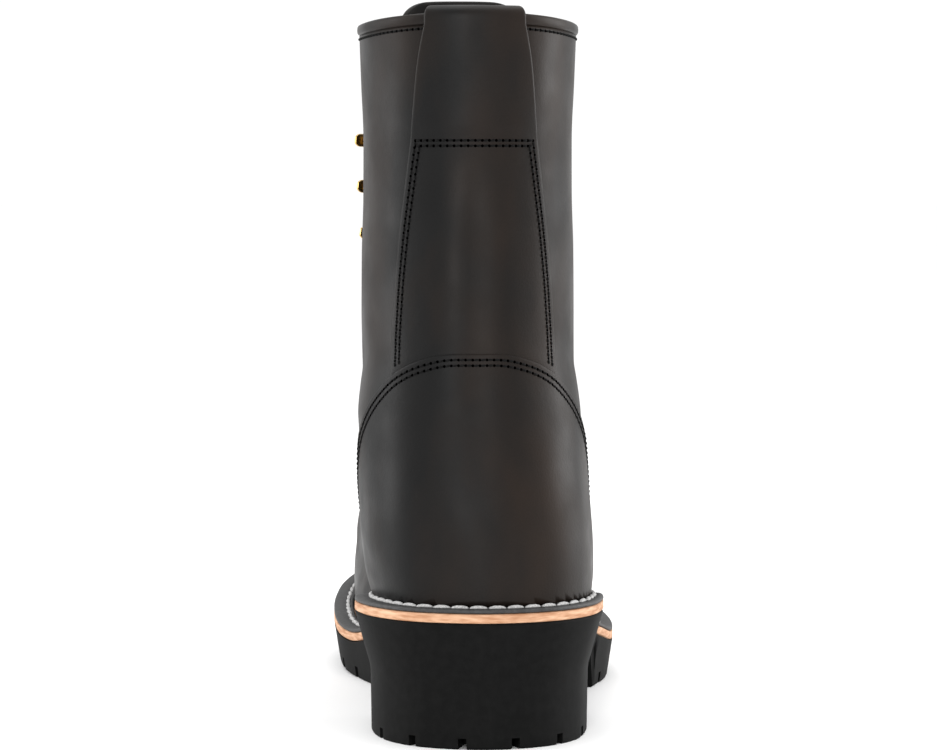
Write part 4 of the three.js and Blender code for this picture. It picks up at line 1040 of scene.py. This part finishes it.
def scatter(shape, mid, direction, out, slant=0.0, uneven=None):
    """Copies of a shape, its x along the direction turned by slant and its z along the normal."""
    points, faces, material = shape
    across = np.cross(out, direction)
    across /= np.linalg.norm(across, axis=1, keepdims=True)
    direction = np.cross(across, out)
    turn = np.full(len(mid), slant)
    if uneven:
        turn = turn + np.array([uneven.uniform(-0.06, 0.06) for _ in mid])
    x = direction * np.cos(turn)[:, None] + across * np.sin(turn)[:, None]
    y = across * np.cos(turn)[:, None] - direction * np.sin(turn)[:, None]
    basis = np.stack([x, y, out], 1)
    placed = points @ basis + mid[:, None, :]
    base = np.arange(len(mid)) * len(points)
    all_faces = [[i + b for i in face] for b in base.tolist() for face in faces]
    return placed.reshape(-1, 3), all_faces, material


STITCH_PITCH, STITCH_LENGTH, STITCH_RADIUS = 2.5, 1.75, 0.4
threads, hole_shades = [], []


def stitch(v, along, lift, front=False):
    """A row of black stitches along a path on the upper."""
    v, along = np.asarray(v, float), np.asarray(along, float)
    if front:
        points, above = (on_upper(v, along, lift + more, front=True) for more in (0.0, 1.0))
    else:
        points, above = leather(v, along, lift), leather(v, along, lift + 1.0)
    mid, direction, out = along_path(points, above - points, STITCH_PITCH)
    threads.append(scatter(thread_shape(STITCH_LENGTH, STITCH_RADIUS, 0.4), mid + out * 0.08, direction, out, 0.12))
    # Painted shade: flattened black discs between the stitches stand in for the shade in the needle holes.
    mid, direction, out = along_path(points, above - points, STITCH_PITCH, 0.0)
    disc = thread_shape(0.9, 0.52, 0.0, 8)
    flat = (disc[0] * np.array([1, 1, 0.28]), disc[1], disc[2])
    hole_shades.append(scatter(flat, mid + out * 0.02, direction, out))


def seams():
    middle = slice(6, -6)
    curve = np.stack([COUNTER_ALONG, COUNTER_TOP_Z], 1)
    slope = np.gradient(curve, axis=0)
    inward = np.stack([slope[:, 1], -slope[:, 0]], 1)
    inward /= np.linalg.norm(inward, axis=1, keepdims=True)
    for inset in (2.3, 4.3):
        row = (curve + inward * inset)[middle]
        stitch(v_at(row[:, 0], row[:, 1]), row[:, 0], COUNTER_THICKNESS + 0.3)
    top = STRAP_FROM - 1
    for inset in (2.6, 4.5):
        z = np.linspace(top - inset + 2.6, 126.0, 80)
        for side in (1, -1):
            end = counter_top((strip_half(z) - inset) * side) + 0.4
            rows = z > end
            reach = side * (strip_half(z[rows]) - inset)
            stitch(v_at(reach, z[rows]), reach, PANEL_LIFT + PANEL_THICKNESS)
        across = np.linspace(-1, 1, 40) * (float(strip_half(top)) - 2.6)
        height = np.full(40, top - inset + 2.6)
        stitch(v_at(across, height), across, PANEL_LIFT + PANEL_THICKNESS + 0.05)
    gap = float(half_gap(LAST))
    first, last = float(FRONT_ARC[-1]) - gap - 2, -(float(ROUND[-1]) - float(FRONT_ARC[-1]) - gap - 2)
    for start, end in ((first, 18.2), (-18.2, last)):
        around = np.linspace(start, end, 120)
        collar = on_ring_flat(np.full(120, float(LAST)), around)[:, 2]
        stitch(v_at(around, collar - 1.3), around, 0.0)
    ups = np.linspace(3, THROAT_LENGTH - 3, 90)
    v = up_throat(ups)
    for inset in (3.4, 18.0):
        for side in (1, -1):
            stitch(v, side * (half_gap(v) + inset), 0.0, front=True)
    piece("stitching", threads, [THREAD], tidy=False)
    piece("stitch_hole_shades", hole_shades, [PAINTED_HOLE_SHADE], tidy=False)


WELT_PITCH, WELT_STITCH, WELT_THREAD_RADIUS = 6.6, 6.5, 0.85


def welt_stitches():
    path = ring_at(stations(260), lambda y, side=1: welt_inset(y, side) - 2.5, lambda y: welt_top(y) + 0.2)
    path = np.concatenate([path, path[:1]])
    normals = np.tile([0.0, 0.0, 1.0], (len(path), 1))
    mid, direction, out = along_path(path, normals, WELT_PITCH)
    chance = random.Random(4)
    shape = thread_shape(WELT_STITCH, WELT_THREAD_RADIUS, 0.5, 10)
    piece("welt_stitching", [scatter(shape, mid, direction, out, 0.1, chance)], [WELT_THREAD],
          tidy=False)


# Eyelets, hooks and lace, on frames whose x leads away from the throat and z out of the leather.
EYELETS, HOOKS, FIRST_EYELET, LAST_HOOK, FROM_EDGE = 5, 4, 9.0, 45.0, 13.5
EYELET_RADIUS, EYELET_BORE, EYELET_FLANGE, RIVET_RISE = 3.1, 2.2, 5.2, 0.65
HOOK_STEM, HOOK_STAND, HOOK_REACH, HOOK_SHEET, HOOK_BREADTH = 1.6, 6.6, 9.5, 0.95, 5.0


def fasteners():
    """Each row's ring, the distance from the front centre, and its frame on either side."""
    rows = []
    for row in range(EYELETS + HOOKS):
        place = lerp(FIRST_EYELET, THROAT_LENGTH - LAST_HOOK, row / (EYELETS + HOOKS - 1))
        v = float(up_throat(place))
        for side in (1, -1):
            along = side * (float(half_gap(v)) + FROM_EDGE)
            origin = on_upper([v], [along], 0.0, front=True)[0]
            out = on_upper([v], [along], 1.0, front=True)[0] - origin
            out /= np.linalg.norm(out)
            away = on_upper([v], [along + side], 0.0, front=True)[0] - origin
            away -= out * (away @ out)
            away /= np.linalg.norm(away)
            rows.append(dict(row=row, side=side, v=v, along=along, origin=origin, away=away,
                             up=np.cross(out, away), out=out))
    return rows


def placed(shape, frame_here, tilt=1.0):
    points, faces, material = shape
    basis = np.stack([frame_here["away"], frame_here["up"], frame_here["out"]])
    return points @ basis + frame_here["origin"], faces, material


def eyelet_shape():
    profile = np.array([(EYELET_BORE, -2.6), (EYELET_RADIUS, -2.6), (EYELET_RADIUS, 0.1), (4.9, 0.1), (5.2, 0.35),
                        (4.9, 0.75), (4.0, 1.3), (3.1, 1.55), (2.5, 1.35), (EYELET_BORE, 0.8)])
    turn = np.linspace(0, 2 * np.pi, 28, endpoint=False)
    rings = [np.stack([np.cos(turn) * r, np.sin(turn) * r, np.full(28, z)], 1) for r, z in profile]
    return hoop(np.stack(rings))


def hook_shapes():
    """A strip bent into an open hook, and the rivet that holds it."""
    turns = np.linspace(-np.pi / 2, -np.pi, 6), np.linspace(np.pi, np.pi / 2, 6)
    foot = RIVET_RISE + HOOK_SHEET / 2
    top = HOOK_STAND - HOOK_SHEET / 2
    back, bend = -4.0 + HOOK_SHEET / 2, 1.4
    line = [(3.4, foot), (1.0, foot)]
    line += [(back + bend + math.cos(t) * bend, foot + bend + math.sin(t) * bend) for t in turns[0]]
    line += [(back + bend + math.cos(t) * bend, top - bend + math.sin(t) * bend) for t in turns[1]]
    line += [(1.0, top), (HOOK_REACH - 3, top + 0.1), (HOOK_REACH - 1.4, top + 0.35), (HOOK_REACH - 0.5, top + 0.6),
             (HOOK_REACH - 0.1, top + 0.75)]
    line = np.array(line)
    step = np.gradient(line, axis=0)
    step /= np.linalg.norm(step, axis=1, keepdims=True)
    normal = np.stack([-step[:, 1], step[:, 0]], 1)
    run = np.concatenate([[0], np.cumsum(np.linalg.norm(np.diff(line, axis=0), axis=1))])
    half = HOOK_BREADTH / 2 * np.minimum(round_edge(run + 0.4, 2.2), round_edge(run[-1] - run + 0.3, 2.6))
    turn = np.linspace(0, 2 * np.pi, 12, endpoint=False)
    flat = lambda w: np.sign(w) * np.abs(w) ** 0.45
    rings = [np.stack([p[0] + n[0] * flat(np.sin(turn)) * HOOK_SHEET / 2, flat(np.cos(turn)) * h,
                       p[1] + n[1] * flat(np.sin(turn)) * HOOK_SHEET / 2], 1)
             for p, n, h in zip(line, normal, half)]
    around = np.linspace(0, 2 * np.pi, 16, endpoint=False)
    head = [(HOOK_STEM, -2.6), (HOOK_STEM, 0.7), (2.0, 1.5), (1.9, 1.9), (1.2, 2.25), (0.3, 2.35)]
    rivet = [np.stack([np.cos(around) * r, np.sin(around) * r, np.full(16, z)], 1) for r, z in head]
    return [tube(np.stack(rings)), tube(np.stack(rivet))]


FASTENERS = fasteners()


def metalwork():
    for here in FASTENERS:
        side = "outer" if here["side"] > 0 else "inner"
        if here["row"] < EYELETS:
            name = f"eyelet_{here['row'] + 1}_{side}"
            shapes = [placed(eyelet_shape(), here)]
        else:
            name = f"hook_{here['row'] - EYELETS + 1}_{side}"
            shapes = [placed(shape, here) for shape in hook_shapes()]
        piece(name + "_brass", shapes, [BRASS], [name], sharp=50)


LACE_RADIUS = 1.7


def smooth_path(points, per=9):
    """An open Catmull-Rom curve through points."""
    p = np.asarray(points, float)
    p = np.concatenate([2 * p[:1] - p[1:2], p, 2 * p[-1:] - p[-2:-1]])
    t = np.linspace(0, 1, per, endpoint=False)[:, None]
    out = []
    for a, b, c, d in zip(p, p[1:], p[2:], p[3:]):
        out.append(0.5 * (2 * b + (c - a) * t + (2 * a - 5 * b + 4 * c - d) * t ** 2
                          + (3 * b - a - 3 * c + d) * t ** 3))
    return np.concatenate(out + [p[-2:-1]])


def round_tube(path, radius, sides=12):
    step = np.gradient(path, axis=0)
    step /= np.linalg.norm(step, axis=1, keepdims=True)
    out = np.array([0.0, 1.0, 0.35])
    rings = []
    turn = np.linspace(0, 2 * np.pi, sides, endpoint=False)
    for point, along in zip(path, step):
        out = out - along * (out @ along)
        out /= np.linalg.norm(out)
        side = np.cross(along, out)
        rings.append(point + radius * (np.cos(turn)[:, None] * side + np.sin(turn)[:, None] * out))
    return tube(np.stack(rings))


def lace():
    by = {(f["row"], f["side"]): f for f in FASTENERS}
    last = EYELETS + HOOKS - 1

    def local(here, x, y, z):
        return here["origin"] + here["away"] * x + here["up"] * y * here["side"] * UP_SIGN + here["out"] * z

    def crossing(low, high, over):
        v = (by[(low, 1)]["v"] + by[(high, 1)]["v"]) / 2
        return on_upper([v], [0.0], 3.9 if over else 0.2, front=True)[0]
    first_up = by[(1, 1)]["origin"] - by[(0, 1)]["origin"]
    UP_SIGN = 1.0 if first_up @ by[(0, 1)]["up"] > 0 else -1.0

    def run(side):
        """One half of the lace from the middle of the lowest bar to the top hook."""
        here = by[(0, side)]
        middle = on_upper([here["v"]], [0.0], 1.9, front=True)[0]
        path = [middle, local(here, -5.5, 0, 2.6), local(here, -1.6, 0, 2.9), local(here, 0, 0, 0.4),
                local(here, -0.5, 0.6, -3.6), local(here, -6, 4, -4.4)]
        for row in range(1, last + 1):
            turn = side if row % 2 == 0 else -side
            here = by[(row, turn)]
            path.append(crossing(row - 1, row, over=(side > 0) == (row % 2 == 0)))
            if row < EYELETS:
                path += [local(here, -7.5, -4.0, -4.2), local(here, -1.0, -0.8, -3.8), local(here, 0, 0, 0.2),
                         local(here, -1.2, 0.8, 3.0), local(here, -5.5, 2.8, 3.2)]
            else:
                path += [local(here, -6.5, -4.6, 2.6), local(here, -3.4, -4.4, 3.2), local(here, -1.2, -2.6, 3.4),
                         local(here, -0.9, 0, 3.5), local(here, -1.2, 2.6, 3.5)]
                if row < last:
                    path += [local(here, -3.4, 4.4, 3.3), local(here, -6.5, 4.8, 2.8)]
        return smooth_path(path)
    both = np.concatenate([run(1)[::-1], run(-1)[1:]])
    piece("boot_lace", [round_tube(both, LACE_RADIUS)], [CORD], ["lace"])


for build in (outsole, midsole, welt, insole, upper, counter, backstay, binding, tongue, seams, welt_stitches,
              metalwork, lace):
    build()

# Floor and backdrop
floor_colour, floor_bsdf = shader("pale floor", (0.965, 0.965, 0.965), 1.0)
floor_mesh = bpy.data.meshes.new("floor")
floor_mesh.from_pydata([(-30, -30, 0), (30, -30, 0), (30, 30, 0), (-30, 30, 0)], [], [(0, 1, 2, 3)])
floor_mesh.materials.append(floor_colour)
floor = bpy.data.objects.new("floor", floor_mesh)
bpy.context.scene.collection.objects.link(floor)

world = bpy.data.worlds.new("studio")
bpy.context.scene.world = world
world.use_nodes = True
world.node_tree.nodes["Background"].inputs["Color"].default_value = (1, 1, 1, 1)
world.node_tree.nodes["Background"].inputs["Strength"].default_value = 1.05
bpy.context.scene.view_settings.view_transform = "Standard"


def soft_light(name, place, aim, size, power):
    light = bpy.data.lights.new(name, "AREA")
    light.shape = "RECTANGLE"
    light.size, light.size_y = size
    light.energy = power
    obj = bpy.data.objects.new(name, light)
    obj.location = place
    obj.rotation_euler = (Vector(aim) - Vector(place)).to_track_quat("-Z", "Y").to_euler()
    bpy.context.scene.collection.objects.link(obj)


soft_light("left_strip", (-1.35, 0.3, 0.5), (0, 0, 0.14), (0.4, 1.2), 10)
soft_light("right_strip", (1.35, 0.3, 0.45), (0, 0, 0.14), (0.4, 1.2), 14)
soft_light("back_strip", (-0.3, -1.9, 0.5), (0, 0, 0.14), (0.25, 1.3), 13)
soft_light("top_soft", (0, 0.2, 1.6), (0, 0, 0.1), (1.2, 1.2), 8)

# Camera, fitted to the photograph: build millimetres, pixels of a 937 wide image
EYE = np.array([-67.8, -1148.1, 198.0])
TURN, PITCH, FOCAL, IMAGE_WIDTH, SENSOR = math.radians(3), math.radians(3.292), 3332.0, 937, 36.0
forward = np.array([math.sin(TURN) * math.cos(PITCH), math.cos(TURN) * math.cos(PITCH), -math.sin(PITCH)])
right = np.array([math.cos(TURN), -math.sin(TURN), 0.0])
over = np.cross(right, forward)
camera_data = bpy.data.cameras.new("camera")
camera_data.sensor_width = SENSOR
camera_data.lens = FOCAL * SENSOR / IMAGE_WIDTH
camera = bpy.data.objects.new("camera", camera_data)
turned = Matrix([[right[k], over[k], -forward[k]] for k in range(3)]).to_4x4()
turned.translation = Vector(metres(EYE).tolist())
camera.matrix_world = turned
bpy.context.scene.collection.objects.link(camera)
bpy.context.scene.camera = camera
